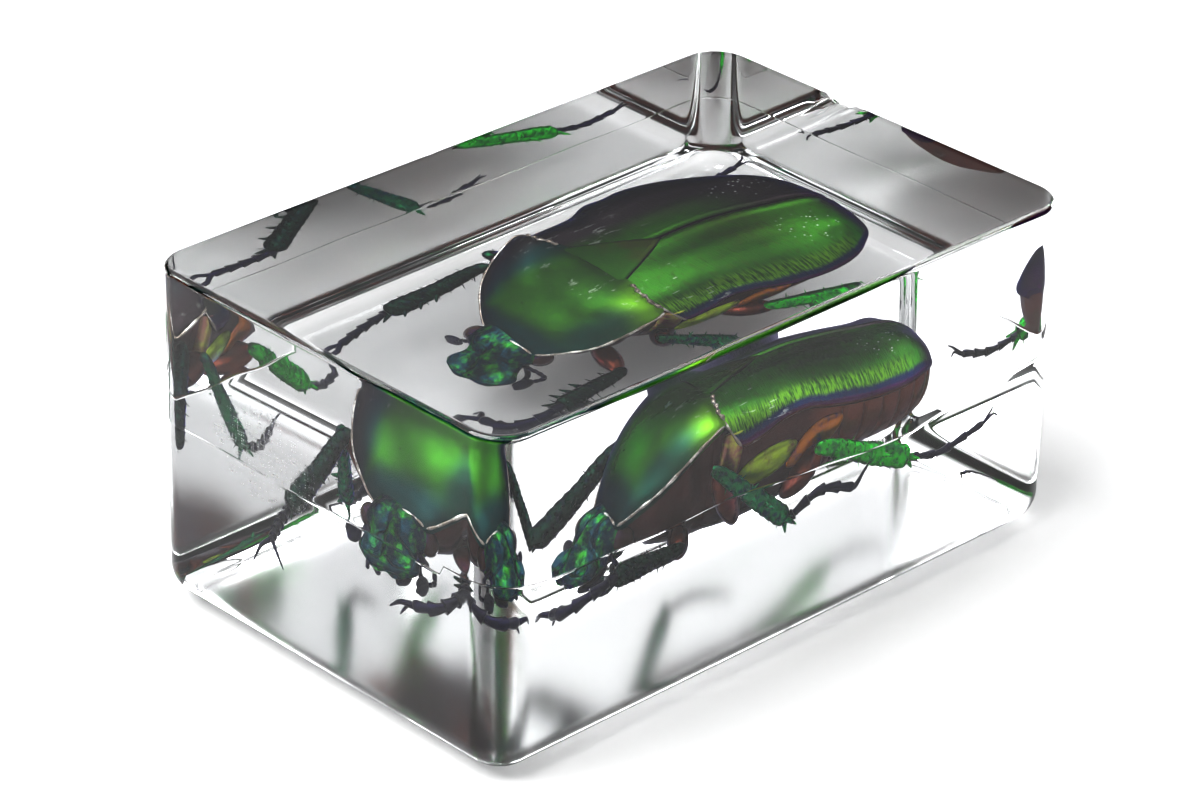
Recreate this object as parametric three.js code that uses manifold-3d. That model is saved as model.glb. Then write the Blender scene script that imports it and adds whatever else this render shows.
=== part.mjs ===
// A flower chafer cast in a clear resin block.
// Millimetres, +Z up. The block is centred on X and Y and rests on z = 0. The beetle faces -X.
import * as THREE from 'three';
import { mergeVertices } from 'three/addons/utils/BufferGeometryUtils.js';
import Module from 'manifold-3d';

const wasm = await Module();
wasm.setup();

// ---- Driving dimensions ----
const BLOCK_LENGTH = 44;
const BLOCK_WIDTH = 28.6;
const BLOCK_HEIGHT = 20.8;
const CORNER_RADIUS = 2.4;
const TOP_EDGE_RADIUS = 0.4;
const BOTTOM_EDGE_RADIUS = 2.1;
const PARTING_HEIGHT = 11.2;
const POCKET_CLEARANCE = 0.54;
const SHORTEST_DETAIL = 0.01;

const BODY_PLACE = new THREE.Vector3(-0.8, 1.3, 12.2);
const BODY_YAW = THREE.MathUtils.degToRad(-4.5);
const BODY_ROLL = THREE.MathUtils.degToRad(-3);
const PROTHORAX_TURN = 0.12;

// Body profiles: [distance behind the front edge of the wing cases, value], in the body's own frame.
// Heights are above or below the level of the pronotum's hind corners.
const CASES_HALF_WIDTH = [[0, 6.1], [1.3, 6.7], [3.2, 6.7], [4.8, 6.45], [6.5, 6.75], [9, 7.15], [12, 7.0],
  [14.4, 6.3], [16.2, 5.1], [17.1, 4.1], [17.6, 2.9], [17.8, 1.6]];
const CASES_CREST = [[0, 1.55], [3, 1.75], [7, 1.75], [10, 1.45], [13, 1.05], [15.2, 0.7], [16.6, 0.0],
  [17.4, -0.8], [17.8, -1.4]];
const CASES_RIM = [[0, -0.9], [1.3, -1.5], [2.8, -1.4], [4.6, -0.95], [6.3, -0.75], [8, -1.1], [10, -1.5],
  [14, -2.0], [17.8, -2.1]];
const BELLY_HALF_WIDTH = [[-1.4, 4.2], [0, 5.6], [2, 6.15], [6, 6.2], [9, 6.65], [12, 6.5], [14.4, 5.8],
  [16.2, 4.8], [17.1, 3.9], [17.5, 2.6]];
const BELLY_FLOOR = [[-1.4, -6.6], [0, -7.3], [3, -7.5], [6, -7.2], [8, -6.7], [9.5, -6.2], [12, -5.8],
  [15, -5.7], [16.6, -5.3], [17.5, -4.6]];
const BELLY_TOP = [[-1.4, -0.8], [0, -0.6], [6, -0.7], [12, -1.3], [17.5, -1.9]];
const PRONOTUM_HALF_WIDTH = [[-6.6, 1.9], [-6.2, 2.7], [-5.4, 3.8], [-4.3, 4.95], [-3, 5.7], [-1.5, 6.2],
  [-0.2, 6.42], [0.5, 6.1]];
const PRONOTUM_CREST = [[-6.6, -3.9], [-6.2, -2.9], [-5.6, -1.8], [-4.6, -0.55], [-3.4, 0.55], [-2, 1.3],
  [-0.6, 1.65], [0.5, 1.6]];
const PRONOTUM_RIM = [[-6.6, -4.5], [-5.3, -3.4], [-4.2, -2.6], [-2.4, -1.3], [-0.4, -0.1], [0.5, 0.1]];
const CHEST_HALF_WIDTH = [[-6.1, 1.9], [-5, 3.2], [-3.5, 4.4], [-1.5, 5.2], [0.6, 5.4]];
const CHEST_FLOOR = [[-6.1, -5.4], [-5, -6.3], [-3.5, -6.9], [-1.5, -7.3], [0.6, -7.4]];

// Head: from the neck to the front of the face shield, with half widths and thicknesses on the way.
const NECK = new THREE.Vector3(-6.3, 1.0, 8.0);
const MUZZLE = new THREE.Vector3(-10.8, 0.3, 5.2);
const HEAD_HALF_WIDTH = [[0, 2.0], [0.18, 2.35], [0.34, 2.45], [0.5, 1.95], [0.72, 1.95], [0.9, 2.15],
  [1, 1.9]];
const HEAD_HALF_DEPTH = [[0, 1.4], [0.2, 1.5], [0.5, 1.25], [0.8, 0.7], [1, 0.28]];
const EYE_RADIUS = 0.72;

// Legs, in the block's frame: hip, knee, end of the shin, then the foot's joints.
// Claws are the two offsets from the foot's end to the claw tips.
const LEGS = {
  left_fore: { path: [[-3.2, 2.8, 6.2], [-3.3, 7.2, 9.7], [-8.8, 9.3, 5.1]], shin: 0.62,
    foot: [[-10.8, 9.1, 4.6], [-12.8, 8.7, 4.15]], claws: [[-0.9, 1.0, -1.6], [-0.9, -1.3, -1.1]] },
  right_fore: { path: [[-2.9, -1.4, 5.8], [-4.6, -4.5, 6.3], [-9.3, -5.2, 6.4]], shin: 0.62,
    foot: [[-11.4, -5.8, 6.1], [-12.8, -5.0, 5.5], [-13.1, -3.2, 5.0]],
    claws: [[-0.3, 1.5, -0.6], [0.6, 1.2, -1.1]] },
  left_middle: { path: [[0.6, 3.4, 5.6], [-1.9, 8.4, 9.3], [1.6, 9.8, 3.7]], shin: 0.56,
    foot: [[3.8, 10.1, 3.4], [6.0, 9.9, 4.0]], claws: [[0.9, 0.3, 0.9], [1.1, -0.4, 0.2]] },
  right_middle: { path: [[0.9, -3.0, 5.6], [-2.1, -5.9, 10.4], [3.3, -6.45, 5.5]], shin: 0.56,
    foot: [[5.6, -7.2, 6.6], [8.3, -7.4, 5.9]], claws: [[0.9, -0.4, 1.2], [1.1, 0.4, 0.6]] },
  left_hind: { path: [[5.4, 3.2, 5.8], [6.9, 7.9, 8.3], [14.0, 8.7, 5.3]], shin: 0.66,
    foot: [[16.2, 9.0, 4.9], [18.6, 9.1, 5.5]], claws: [[0.9, 0.4, 0.7], [1.0, -0.4, 0.2]] },
  right_hind: { path: [[4.6, -2.7, 5.8], [5.9, -6.5, 9.1], [12.9, -7.1, 6.1]], shin: 0.66,
    foot: [[15.4, -7.25, 5.5], [17.3, -7.35, 5.8], [19.0, -7.5, 6.2]],
    claws: [[0.9, 0.3, 0.7], [0.9, -0.4, 0.1]] },
};
const THIGH_RADIUS = 1.05;
const FOOT_RADIUS = 0.26;
const CLAW_RADIUS = 0.15;
const FEELER_RADIUS = 0.17;
const RIGHT_FEELER = [[-8.1, -0.9, 6.6], [-7.5, -2.0, 5.5], [-7.4, -2.1, 4.9], [-8.1, -1.9, 4.8]];
const RIGHT_CLUB = [[-8.0, -1.9, 4.8], [-9.3, -1.6, 4.75]];
const LEFT_FEELER = [[-8.1, 1.7, 7.0], [-8.4, 3.0, 6.5], [-8.5, 3.9, 5.95]];
const LEFT_CLUB = [[-8.45, 3.5, 6.15], [-8.7, 4.5, 5.5]];

// ---- Small tools ----
const vec = (p) => new THREE.Vector3(p[0], p[1], p[2]);

// A smooth value along a profile list of [position, value].
function along(profile, x) {
  const last = profile.length - 1;
  let i = 0;
  while (i < last - 1 && x > profile[i + 1][0]) i += 1;
  const [x0, y0] = profile[i];
  const [x1, y1] = profile[i + 1];
  const before = profile[Math.max(i - 1, 0)];
  const after = profile[Math.min(i + 2, last)];
  const m0 = ((y1 - before[1]) / (x1 - before[0])) * (x1 - x0);
  const m1 = ((after[1] - y0) / (after[0] - x0)) * (x1 - x0);
  const t = THREE.MathUtils.clamp((x - x0) / (x1 - x0), 0, 1);
  const t2 = t * t;
  const t3 = t2 * t;
  return (2 * t3 - 3 * t2 + 1) * y0 + (t3 - 2 * t2 + t) * m0 + (3 * t2 - 2 * t3) * y1 + (t3 - t2) * m1;
}

// A ball whose grid of vertices is moved to place(angle, fraction from end to end).
function reshapedBall(around, stations, place) {
  const geometry = new THREE.SphereGeometry(1, around, stations);
  const position = geometry.attributes.position;
  const uv = geometry.attributes.uv;
  for (let i = 0; i < position.count; i += 1) {
    const row = Math.round((1 - uv.getY(i)) * stations);
    const pole = row === 0 || row === stations;
    const angle = pole ? 0 : ((Math.round(uv.getX(i) * around) % around) / around) * 2 * Math.PI;
    const p = place(angle, row / stations, pole);
    position.setXYZ(i, p.x, p.y, p.z);
  }
  return geometry;
}

// A closed geometry as a solid that faces outwards.
function solid(geometry) {
  const bare = geometry.clone();
  bare.deleteAttribute('normal');
  bare.deleteAttribute('uv');
  const merged = mergeVertices(bare, 1e-4);
  const points = merged.attributes.position.array;
  const faces = withoutSlivers(merged.index.array, points);
  return new wasm.Manifold(new wasm.Mesh({
    numProp: 3,
    vertProperties: new Float32Array(points),
    triVerts: new Uint32Array(enclosedVolume(faces, points) < 0 ? faces.reverse() : faces),
  }));
}

function withoutSlivers(index, points) {
  const faces = [];
  for (let i = 0; i < index.length; i += 3) {
    const [a, b, c] = [index[i], index[i + 1], index[i + 2]];
    if (a !== b && b !== c && a !== c) faces.push(a, b, c);
  }
  return faces;
}

function enclosedVolume(faces, points) {
  const corner = (k) => new THREE.Vector3().fromArray(points, 3 * k);
  let volume = 0;
  for (let i = 0; i < faces.length; i += 3) {
    volume += corner(faces[i]).dot(corner(faces[i + 1]).cross(corner(faces[i + 2]))) / 6;
  }
  return volume;
}

const joined = (solids) => solids.reduce((sum, next) => sum.add(next));

// ---- The body's frame ----
const bodyMatrix = new THREE.Matrix4()
  .makeTranslation(BODY_PLACE)
  .multiply(new THREE.Matrix4().makeRotationZ(BODY_YAW))
  .multiply(new THREE.Matrix4().makeRotationX(BODY_ROLL));

// In front of the wing cases the middle line swings gently towards the beetle's right.
const middleLine = (x) => (x < 0 ? PROTHORAX_TURN * x : 0);

function bodyPoint(x, y, z) {
  return new THREE.Vector3(x, y + middleLine(x), z).applyMatrix4(bodyMatrix);
}

// A body part lofted from front to back. section(x, angle) gives [y, z], with angle 0 on the left rim
// and a quarter turn at the crest. Stations crowd towards both ends, where the part rounds off.
function bodyLoft(around, stations, front, back, section) {
  return solid(reshapedBall(around, stations, (angle, t, pole) => {
    const x = front + (back - front) * (0.5 - 0.5 * Math.cos(Math.PI * t));
    if (!pole) return bodyPoint(x, ...section(x, angle));
    const left = section(x, 0);
    const top = section(x, Math.PI / 2);
    const bottom = section(x, 1.5 * Math.PI);
    return bodyPoint(x, 0, (left[1] + top[1] + bottom[1]) / 3);
  }));
}

// A domed back: full at the crest, steep at the rim, and a shallow keel under the rim.
function domeSection(halfWidth, crest, rim, keel, angle) {
  const y = halfWidth * Math.cos(angle);
  const s = Math.sin(angle);
  if (s < 0) return [y * 0.96, rim + keel * s];
  const dome = (1 - Math.abs(Math.cos(angle)) ** 2.3) ** 0.62;
  return [y, rim + (crest - rim) * dome];
}

// A smooth mound one unit high.
function mound(x, y, atX, atY, sizeX, sizeY) {
  return Math.exp(-(((x - atX) / sizeX) ** 2) - (((y - atY) / sizeY) ** 2));
}

// ---- The beetle's parts ----
function wingCases() {
  return bodyLoft(36, 18, 0, 17.8, (x, angle) => {
    const width = along(CASES_HALF_WIDTH, x);
    const [y, z] = domeSection(width, along(CASES_CREST, x), along(CASES_RIM, x), 0.5, angle);
    if (Math.sin(angle) <= 0) return [y, z];
    const suture = -0.22 * Math.exp(-((y / 0.3) ** 2));
    const tailKnob = 0.3 * mound(x, Math.abs(y), 15.2, 3.9, 1.3, 1.3);
    const shoulderKnob = 0.2 * mound(x, Math.abs(y), 1.8, 5.2, 1.6, 1);
    return [y, z + suture + tailKnob + shoulderKnob];
  });
}

function belly() {
  return bodyLoft(26, 14, -1.4, 17.5, (x, angle) => {
    const y = along(BELLY_HALF_WIDTH, x) * Math.cos(angle);
    const s = Math.sin(angle);
    const top = along(BELLY_TOP, x);
    if (s > 0) return [y, top + 0.4 * s];
    return [y, top + (along(BELLY_FLOOR, x) - top) * Math.abs(s) ** 0.85];
  });
}

function pronotum() {
  return bodyLoft(28, 12, -6.6, 0.5, (x, angle) => domeSection(along(PRONOTUM_HALF_WIDTH, x),
    along(PRONOTUM_CREST, x), along(PRONOTUM_RIM, x), 0.6, angle));
}

function chest() {
  return bodyLoft(20, 7, -6.1, 0.6, (x, angle) => {
    const y = along(CHEST_HALF_WIDTH, x) * Math.cos(angle);
    const s = Math.sin(angle);
    const rim = along(PRONOTUM_RIM, x) - 0.3;
    const floor = along(CHEST_FLOOR, x);
    return [y, s > 0 ? rim + 0.5 * s : rim + (floor - rim) * Math.abs(s) ** 0.9];
  });
}

// The scutellum is a low triangular plate, point backwards, between the bases of the wing cases.
function scutellum() {
  return bodyLoft(16, 6, 0.2, 5.4, (x, angle) => {
    const y = 2.9 * Math.max(1 - (x - 0.2) / 5.2, 0.04) * Math.cos(angle);
    const level = along(CASES_CREST, x) - 0.036 * y * y;
    return [y, level + (Math.sin(angle) > 0 ? 0.16 : -0.7)];
  });
}

const headAxis = new THREE.Vector3().subVectors(MUZZLE, NECK);
const headSide = new THREE.Vector3(0, 0.993, 0.12).projectOnPlane(headAxis).normalize();
const headUp = new THREE.Vector3().crossVectors(headSide, headAxis).normalize();

function headPoint(t, side, up) {
  return NECK.clone().addScaledVector(headAxis, t)
    .addScaledVector(headSide, side).addScaledVector(headUp, up);
}

// The head is a flat wedge: domed between the eyes, then the square face shield with a raised ridge.
function head() {
  const skull = reshapedBall(20, 10, (angle, t, pole) => {
    const width = along(HEAD_HALF_WIDTH, t);
    const depth = along(HEAD_HALF_DEPTH, t);
    if (pole) return headPoint(t, 0, 0);
    const c = Math.cos(angle);
    const s = Math.sin(angle);
    const side = width * Math.sign(c) * Math.abs(c) ** 0.8;
    const ridge = s > 0 && t > 0.3 ? 0.22 * Math.exp(-((side / 0.5) ** 2)) : 0;
    return headPoint(t, side, depth * (s > 0 ? 0.75 * s : 1.25 * s) + ridge);
  });
  return solid(skull);
}

function eye(sign) {
  const ball = new THREE.SphereGeometry(EYE_RADIUS, 10, 7);
  const place = headPoint(0.26, sign * 2.25, -0.25);
  return solid(ball.translate(place.x, place.y, place.z));
}

// A limb follows a smooth path. thickness(fraction) gives its radius and squash its flatness.
function limb(points, around, stations, thickness, squash = 1) {
  const curve = new THREE.CatmullRomCurve3(points, false, 'centripetal');
  const frames = curve.computeFrenetFrames(stations);
  const ball = reshapedBall(around, stations, (angle, t, pole) => {
    const k = Math.round(t * stations);
    const radius = pole ? 0 : thickness(t);
    return curve.getPointAt(t)
      .addScaledVector(frames.normals[k], radius * Math.cos(angle))
      .addScaledVector(frames.binormals[k], radius * squash * Math.sin(angle));
  });
  return solid(ball);
}

const spindle = (radius, end) => (t) => radius * (end + (1 - end) * Math.sin(Math.PI * t) ** 0.8);
const widening = (radius) => (t) => radius * (0.55 + 0.45 * t) * (t > 0.96 ? 0.8 : 1);
const tapering = (radius) => (t) => radius * (1 - 0.75 * t);
const beads = (radius, count) => (t) => radius * (0.75 + 0.35 * Math.abs(Math.sin(Math.PI * count * t)));

// Spurs at the end of the shin and teeth along its outer edge.
function spines(knee, end, radius) {
  const axis = new THREE.Vector3().subVectors(end, knee).normalize();
  const out = new THREE.Vector3(0, 0, 1).cross(axis).normalize();
  const up = new THREE.Vector3().crossVectors(axis, out);
  const sign = Math.sign(knee.y) || 1;
  const spine = (at, direction) => {
    const start = new THREE.Vector3().lerpVectors(knee, end, at);
    const tip = start.clone().add(direction);
    return limb([start, start.clone().lerp(tip, 0.5), tip], 4, 3, tapering(0.24));
  };
  const outward = (x, y, z) => new THREE.Vector3().addScaledVector(axis, x)
    .addScaledVector(out, sign * y).addScaledVector(up, z);
  return [
    spine(0.96, outward(0.95, 0.35 + radius, 0.1)),
    spine(0.97, outward(0.95, -0.25, -0.7)),
    spine(0.62, outward(0.4, 0.45 + radius, 0.15)),
  ];
}

// A point a little way back from one joint towards another, so that neighbouring pieces overlap.
function backFrom(joint, towards, by) {
  return joint.clone().add(new THREE.Vector3().subVectors(towards, joint).setLength(by));
}

function leg({ path, shin, foot, claws }) {
  const [hip, knee, end] = path.map(vec);
  const joints = [backFrom(end, knee, 0.5), end, ...foot.map(vec)];
  const last = joints[joints.length - 1];
  const wrist = backFrom(last, joints[joints.length - 2], 0.45);
  const middle = hip.clone().lerp(knee, 0.5);
  const hooks = claws.map((offset) => {
    const tip = last.clone().add(vec(offset));
    const bend = last.clone().lerp(tip, 0.5).add(new THREE.Vector3(Math.sign(offset[0]) * 0.3, 0, 0.3));
    return limb([wrist, last, bend, tip], 4, 4, tapering(CLAW_RADIUS));
  });
  const shinStart = backFrom(knee, hip, 0.5);
  return joined([
    limb([hip, middle, knee], 9, 6, spindle(THIGH_RADIUS, 0.35), 0.72),
    limb([shinStart, knee, knee.clone().lerp(end, 0.5), end], 7, 6, widening(shin), 0.8),
    limb(joints, 5, 10, beads(FOOT_RADIUS, 5)),
    ...spines(knee, end, shin * 0.6),
    ...hooks,
  ]);
}

function feeler(stalk, club) {
  const [a, b] = club.map(vec);
  return joined([
    limb(stalk.map(vec), 5, 7, () => FEELER_RADIUS),
    limb([a, a.clone().lerp(b, 0.5), b], 8, 5, spindle(0.42, 0.3), 0.6),
  ]);
}

function beetle() {
  return joined([belly(), chest(), wingCases(), pronotum(), scutellum(), head(), eye(1), eye(-1),
    ...Object.values(LEGS).map(leg), feeler(RIGHT_FEELER, RIGHT_CLUB), feeler(LEFT_FEELER, LEFT_CLUB)]);
}

// ---- The pocket: simplified forms with room to spare, open at the parting face ----
// A trench under (or over) the straight line from a to b, cut through to beyond the parting face.
function trench(a, b, radius, below) {
  const r = radius + POCKET_CLEARANCE;
  const run = new THREE.Vector2(b.x - a.x, b.y - a.y);
  const length = run.length();
  const heading = Math.atan2(run.y, run.x);
  const away = below ? -1 : 1;
  const open = PARTING_HEIGHT - away;
  const corners = [[0, 0], [1, 0], [1, 1], [0, 1]].map((p) => new THREE.Vector2(...p));
  const lathe = new THREE.LatheGeometry(corners, 6);
  const position = lathe.attributes.position;
  for (let i = 0; i < position.count; i += 1) {
    const px = position.getX(i) * 1.05 * r;
    const py = position.getZ(i) * 1.05 * r;
    const forward = px + (px > 0.01 * r ? length : px < -0.01 * r ? 0 : length / 2);
    const share = THREE.MathUtils.clamp(forward / Math.max(length, 0.01), 0, 1);
    const floor = THREE.MathUtils.lerp(a.z, b.z, share) + away * r;
    const reached = below ? Math.min(floor, open - 0.2) : Math.max(floor, open + 0.2);
    position.setXYZ(i,
      a.x + forward * Math.cos(heading) - py * Math.sin(heading),
      a.y + forward * Math.sin(heading) + py * Math.cos(heading),
      position.getY(i) > 0.5 ? open : reached);
  }
  return solid(lathe);
}

// Every straight piece of the legs, feelers and head with the room that it needs.
function slimPieces() {
  const pieces = [];
  const chain = (points, radius) => {
    for (let i = 0; i + 1 < points.length; i += 1) pieces.push([points[i], points[i + 1], radius]);
  };
  for (const { path, shin, foot, claws } of Object.values(LEGS)) {
    const [hip, knee, end] = path.map(vec);
    const last = vec(foot[foot.length - 1]);
    chain([hip, knee], THIGH_RADIUS);
    chain([knee, end], shin + 0.45);
    chain([end, ...foot.map(vec)], FOOT_RADIUS + 0.35);
    for (const offset of claws) chain([last, last.clone().add(vec(offset))], CLAW_RADIUS + 0.35);
    pieces.push([end, end.clone().add(new THREE.Vector3().subVectors(end, knee).setLength(0.9)), 1.15]);
  }
  chain(RIGHT_FEELER.map(vec), 0.3);
  chain(RIGHT_CLUB.map(vec), 0.45);
  chain(LEFT_FEELER.map(vec), 0.3);
  chain(LEFT_CLUB.map(vec), 0.45);
  return pieces;
}

// The basin under the body or the vault over it, wider than the body by the clearance.
function bodyPocket(below) {
  const away = below ? -1 : 1;
  return bodyLoft(16, 12, -7.2, 18.6, (x, angle) => {
    const inside = THREE.MathUtils.clamp(x, -6.6, 17.8);
    const chestWidth = along(PRONOTUM_HALF_WIDTH, Math.min(inside, 0.5));
    const casesWidth = along(CASES_HALF_WIDTH, Math.max(inside, 0));
    const width = (inside < 0.4 ? Math.max(chestWidth, 2.9) : Math.max(casesWidth, 4.4)) + 0.95;
    const crest = 1.0 + (inside < 0.4 ? along(PRONOTUM_CREST, inside) : along(CASES_CREST, inside));
    const chestFloor = along(CHEST_FLOOR, THREE.MathUtils.clamp(inside, -6.1, 0.6));
    const floor = -0.8 + (inside < 0 ? chestFloor : along(BELLY_FLOOR, inside));
    const open = PARTING_HEIGHT - BODY_PLACE.z - away * 1.2;
    const reach = below ? Math.min(floor, open - 1) : Math.max(crest, open + 1);
    const s = Math.sin(angle);
    const rise = s > 0 ? Math.abs(s) ** 0.55 : 0;
    return [width * Math.sign(Math.cos(angle)) * Math.abs(Math.cos(angle)) ** 0.8,
      open + (reach - open) * rise];
  });
}

function headPocket(below) {
  const wide = [-1.6, 0, 1.6].map((side) => [headPoint(0, side, 0), headPoint(1.02, side, 0), 1.6]);
  return joined(wide.map(([a, b, r]) => trench(a, b, r, below)));
}

function pocket(below) {
  const crosses = ([a, b, r]) => (below
    ? Math.min(a.z, b.z) - r < PARTING_HEIGHT
    : Math.max(a.z, b.z) + r + POCKET_CLEARANCE > PARTING_HEIGHT);
  const trenches = slimPieces().filter(crosses).map(([a, b, r]) => trench(a, b, r, below));
  return joined([bodyPocket(below), headPocket(below), ...trenches]);
}

// ---- The block ----
// How far the wall stands in from the full outline at a height, for the rounded top and bottom edges.
function inset(z) {
  const low = BOTTOM_EDGE_RADIUS - z;
  if (low > 0) return BOTTOM_EDGE_RADIUS - Math.sqrt(Math.max(BOTTOM_EDGE_RADIUS ** 2 - low ** 2, 0));
  const high = z - (BLOCK_HEIGHT - TOP_EDGE_RADIUS);
  return high > 0 ? TOP_EDGE_RADIUS - Math.sqrt(Math.max(TOP_EDGE_RADIUS ** 2 - high ** 2, 0)) : 0;
}

// One side of the parting face: stacked rounded rectangles between two flat faces.
function slab(heights) {
  const profile = [[0, heights[0]], ...heights.map((z) => [1, z]), [0, heights[heights.length - 1]]];
  const corners = 4;
  const arc = 7;
  const around = corners * (arc + 1);
  const lathe = new THREE.LatheGeometry(profile.map((p) => new THREE.Vector2(...p)), around);
  const position = lathe.attributes.position;
  const uv = lathe.attributes.uv;
  for (let i = 0; i < position.count; i += 1) {
    const step = Math.round(uv.getX(i) * around) % around;
    const quarter = Math.floor(step / (arc + 1));
    const angle = (quarter + (step % (arc + 1)) / arc) * (Math.PI / 2);
    const z = position.getY(i);
    const radius = CORNER_RADIUS - inset(z);
    const full = Math.hypot(position.getX(i), position.getZ(i)) > 0.5 ? 1 : 0;
    const sx = quarter === 0 || quarter === 3 ? 1 : -1;
    const sy = quarter < 2 ? 1 : -1;
    position.setXYZ(i,
      full * (sx * (BLOCK_LENGTH / 2 - CORNER_RADIUS) + radius * Math.cos(angle)),
      full * (sy * (BLOCK_WIDTH / 2 - CORNER_RADIUS) + radius * Math.sin(angle)),
      z);
  }
  return solid(lathe);
}

function steps(from, radius, sign) {
  return [0, 18, 36, 54, 72, 90].map((degrees) => {
    const a = THREE.MathUtils.degToRad(degrees);
    return from + sign * radius * (1 - Math.cos(a));
  });
}

const lowerBlock = () => slab([...steps(0, BOTTOM_EDGE_RADIUS, 1), PARTING_HEIGHT]).subtract(pocket(true));
const upperBlock = () => slab([PARTING_HEIGHT, ...steps(BLOCK_HEIGHT, TOP_EDGE_RADIUS, -1).reverse()])
  .subtract(pocket(false));

// ---- Nodes ----
// Each node's mesh is cleaned of edges too short to matter, which the joins and cuts leave.
function node(name, body, material) {
  const { vertProperties, triVerts, numProp } = body.simplify(SHORTEST_DETAIL).getMesh();
  const points = new Float32Array((vertProperties.length / numProp) * 3);
  for (let i = 0; i < points.length / 3; i += 1) {
    for (let k = 0; k < 3; k += 1) points[3 * i + k] = vertProperties[numProp * i + k];
  }
  const geometry = new THREE.BufferGeometry();
  geometry.setAttribute('position', new THREE.BufferAttribute(points, 3));
  geometry.setIndex(new THREE.BufferAttribute(new Uint32Array(triVerts), 1));
  geometry.computeVertexNormals();
  const mesh = new THREE.Mesh(geometry, material);
  mesh.name = name;
  return mesh;
}

const shell = new THREE.MeshStandardMaterial({ name: 'green_beetle_shell', color: '#2f6b2a', metalness: 0.5,
  roughness: 0.3 });
const resin = () => new THREE.MeshStandardMaterial({ name: 'clear_resin', color: '#eef3f2', roughness: 0.05,
  transparent: true, opacity: 0.35 });

const part = new THREE.Group();
part.name = 'insect_in_resin_block';
part.add(node('beetle', beetle(), shell));
part.add(node('resin_block_lower', lowerBlock(), resin()));
part.add(node('resin_block_upper', upperBlock(), resin()));

export default part;
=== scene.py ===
"""A flower chafer cast in a clear resin block, dressed for rendering."""

import bpy
import numpy as np
from bpy.props import FloatProperty, FloatVectorProperty, PointerProperty
from bpy.types import Operator, Panel, PropertyGroup
from mathutils import Matrix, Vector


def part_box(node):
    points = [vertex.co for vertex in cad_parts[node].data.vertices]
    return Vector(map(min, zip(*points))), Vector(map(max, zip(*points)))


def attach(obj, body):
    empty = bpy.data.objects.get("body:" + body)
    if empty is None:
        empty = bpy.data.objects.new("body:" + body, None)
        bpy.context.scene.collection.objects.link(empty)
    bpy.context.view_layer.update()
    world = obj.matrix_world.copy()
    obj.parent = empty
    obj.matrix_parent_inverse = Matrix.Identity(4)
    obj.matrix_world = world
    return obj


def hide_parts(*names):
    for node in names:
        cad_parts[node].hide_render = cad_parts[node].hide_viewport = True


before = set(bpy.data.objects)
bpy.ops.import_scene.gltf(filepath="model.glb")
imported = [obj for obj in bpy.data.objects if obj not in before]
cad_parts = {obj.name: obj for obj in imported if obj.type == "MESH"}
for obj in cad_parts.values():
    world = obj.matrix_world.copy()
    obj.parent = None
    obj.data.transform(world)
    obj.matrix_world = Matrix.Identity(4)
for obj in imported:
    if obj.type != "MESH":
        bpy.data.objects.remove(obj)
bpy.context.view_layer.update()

bl_info = {
    "name": "Insect in resin block",
    "version": (1, 0, 0),
    "blender": (4, 5, 0),
    "location": "3D View > Sidebar > Specimen",
    "description": "Builds a green flower chafer sealed in a clear resin block",
    "category": "Add Mesh",
}

MM = 0.001
BEETLE_NODE = "beetle"

# ---- The beetle's proportions, in millimetres, in the body's own frame ----
# x runs back from the front edge of the wing cases, y to the beetle's left, z up from the level of the
# pronotum's hind corners.
BODY_PLACE = np.array([-0.8, 1.3, 12.2])
BODY_YAW = np.radians(-4.5)
BODY_ROLL = np.radians(-3.0)
PROTHORAX_TURN = 0.12
CASES_LENGTH = 17.78
CASE_THICKNESS = 0.3
SCUTELLUM_HALF_WIDTH, SCUTELLUM_ROUND = 2.85, 0.35
CASES_HALF_WIDTH = [(0, 6.1), (1.3, 6.7), (3.2, 6.7), (4.8, 6.45), (6.5, 6.75), (9, 7.15), (12, 7.0),
                    (14.4, 6.3), (16.2, 5.1), (17.1, 4.1), (17.6, 2.9), (17.8, 1.6)]
CASES_CREST = [(0, 1.55), (3, 1.75), (7, 1.75), (10, 1.45), (13, 1.05), (15.2, 0.7), (16.6, 0.0),
               (17.4, -0.8), (17.8, -1.4)]
CASES_RIM = [(0, -0.9), (1.3, -1.5), (2.8, -1.4), (4.6, -0.95), (6.3, -0.75), (8, -1.1), (10, -1.5),
             (14, -2.0), (17.8, -2.1)]
# Each form is its height, then its middle and its spread, back from the front and out from the seam.
CASE_RELIEF = {
    "tail_knob": (0.3, (15.2, 3.9), (1.3, 1.3)),
    "shoulder_knob": (0.2, (1.8, 5.2), (1.6, 1.0)),
    "seam_hollow": (-0.1, (6.0, 1.6), (4.5, 0.8)),
    "flank_hollow": (-0.06, (9.0, 3.6), (5.0, 0.7)),
}
BELLY_HALF_WIDTH = [(-1.4, 4.2), (0, 5.6), (2, 6.15), (6, 6.2), (9, 6.65), (12, 6.5), (14.4, 5.8),
                    (16.2, 4.8), (17.1, 3.9), (17.5, 2.6)]
BELLY_FLOOR = [(-1.4, -6.6), (0, -7.3), (3, -7.5), (6, -7.2), (8, -6.7), (9.5, -6.2), (12, -5.8),
               (15, -5.7), (16.6, -5.3), (17.5, -4.6)]
BELLY_TOP = [(-1.4, -0.8), (0, -0.6), (6, -0.7), (12, -1.3), (17.5, -1.9)]
PRONOTUM_HALF_WIDTH = [(-6.6, 1.9), (-6.2, 2.7), (-5.4, 3.8), (-4.3, 4.95), (-3, 5.7), (-1.5, 6.2),
                       (-0.2, 6.42), (0.5, 6.1)]
PRONOTUM_CREST = [(-6.6, -3.9), (-6.2, -2.9), (-5.6, -1.8), (-4.6, -0.55), (-3.4, 0.55), (-2, 1.3),
                  (-0.6, 1.65), (0.5, 1.6)]
PRONOTUM_RIM = [(-6.6, -4.5), (-5.3, -3.4), (-4.2, -2.6), (-2.4, -1.3), (-0.4, -0.1), (0.5, 0.1)]
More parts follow.
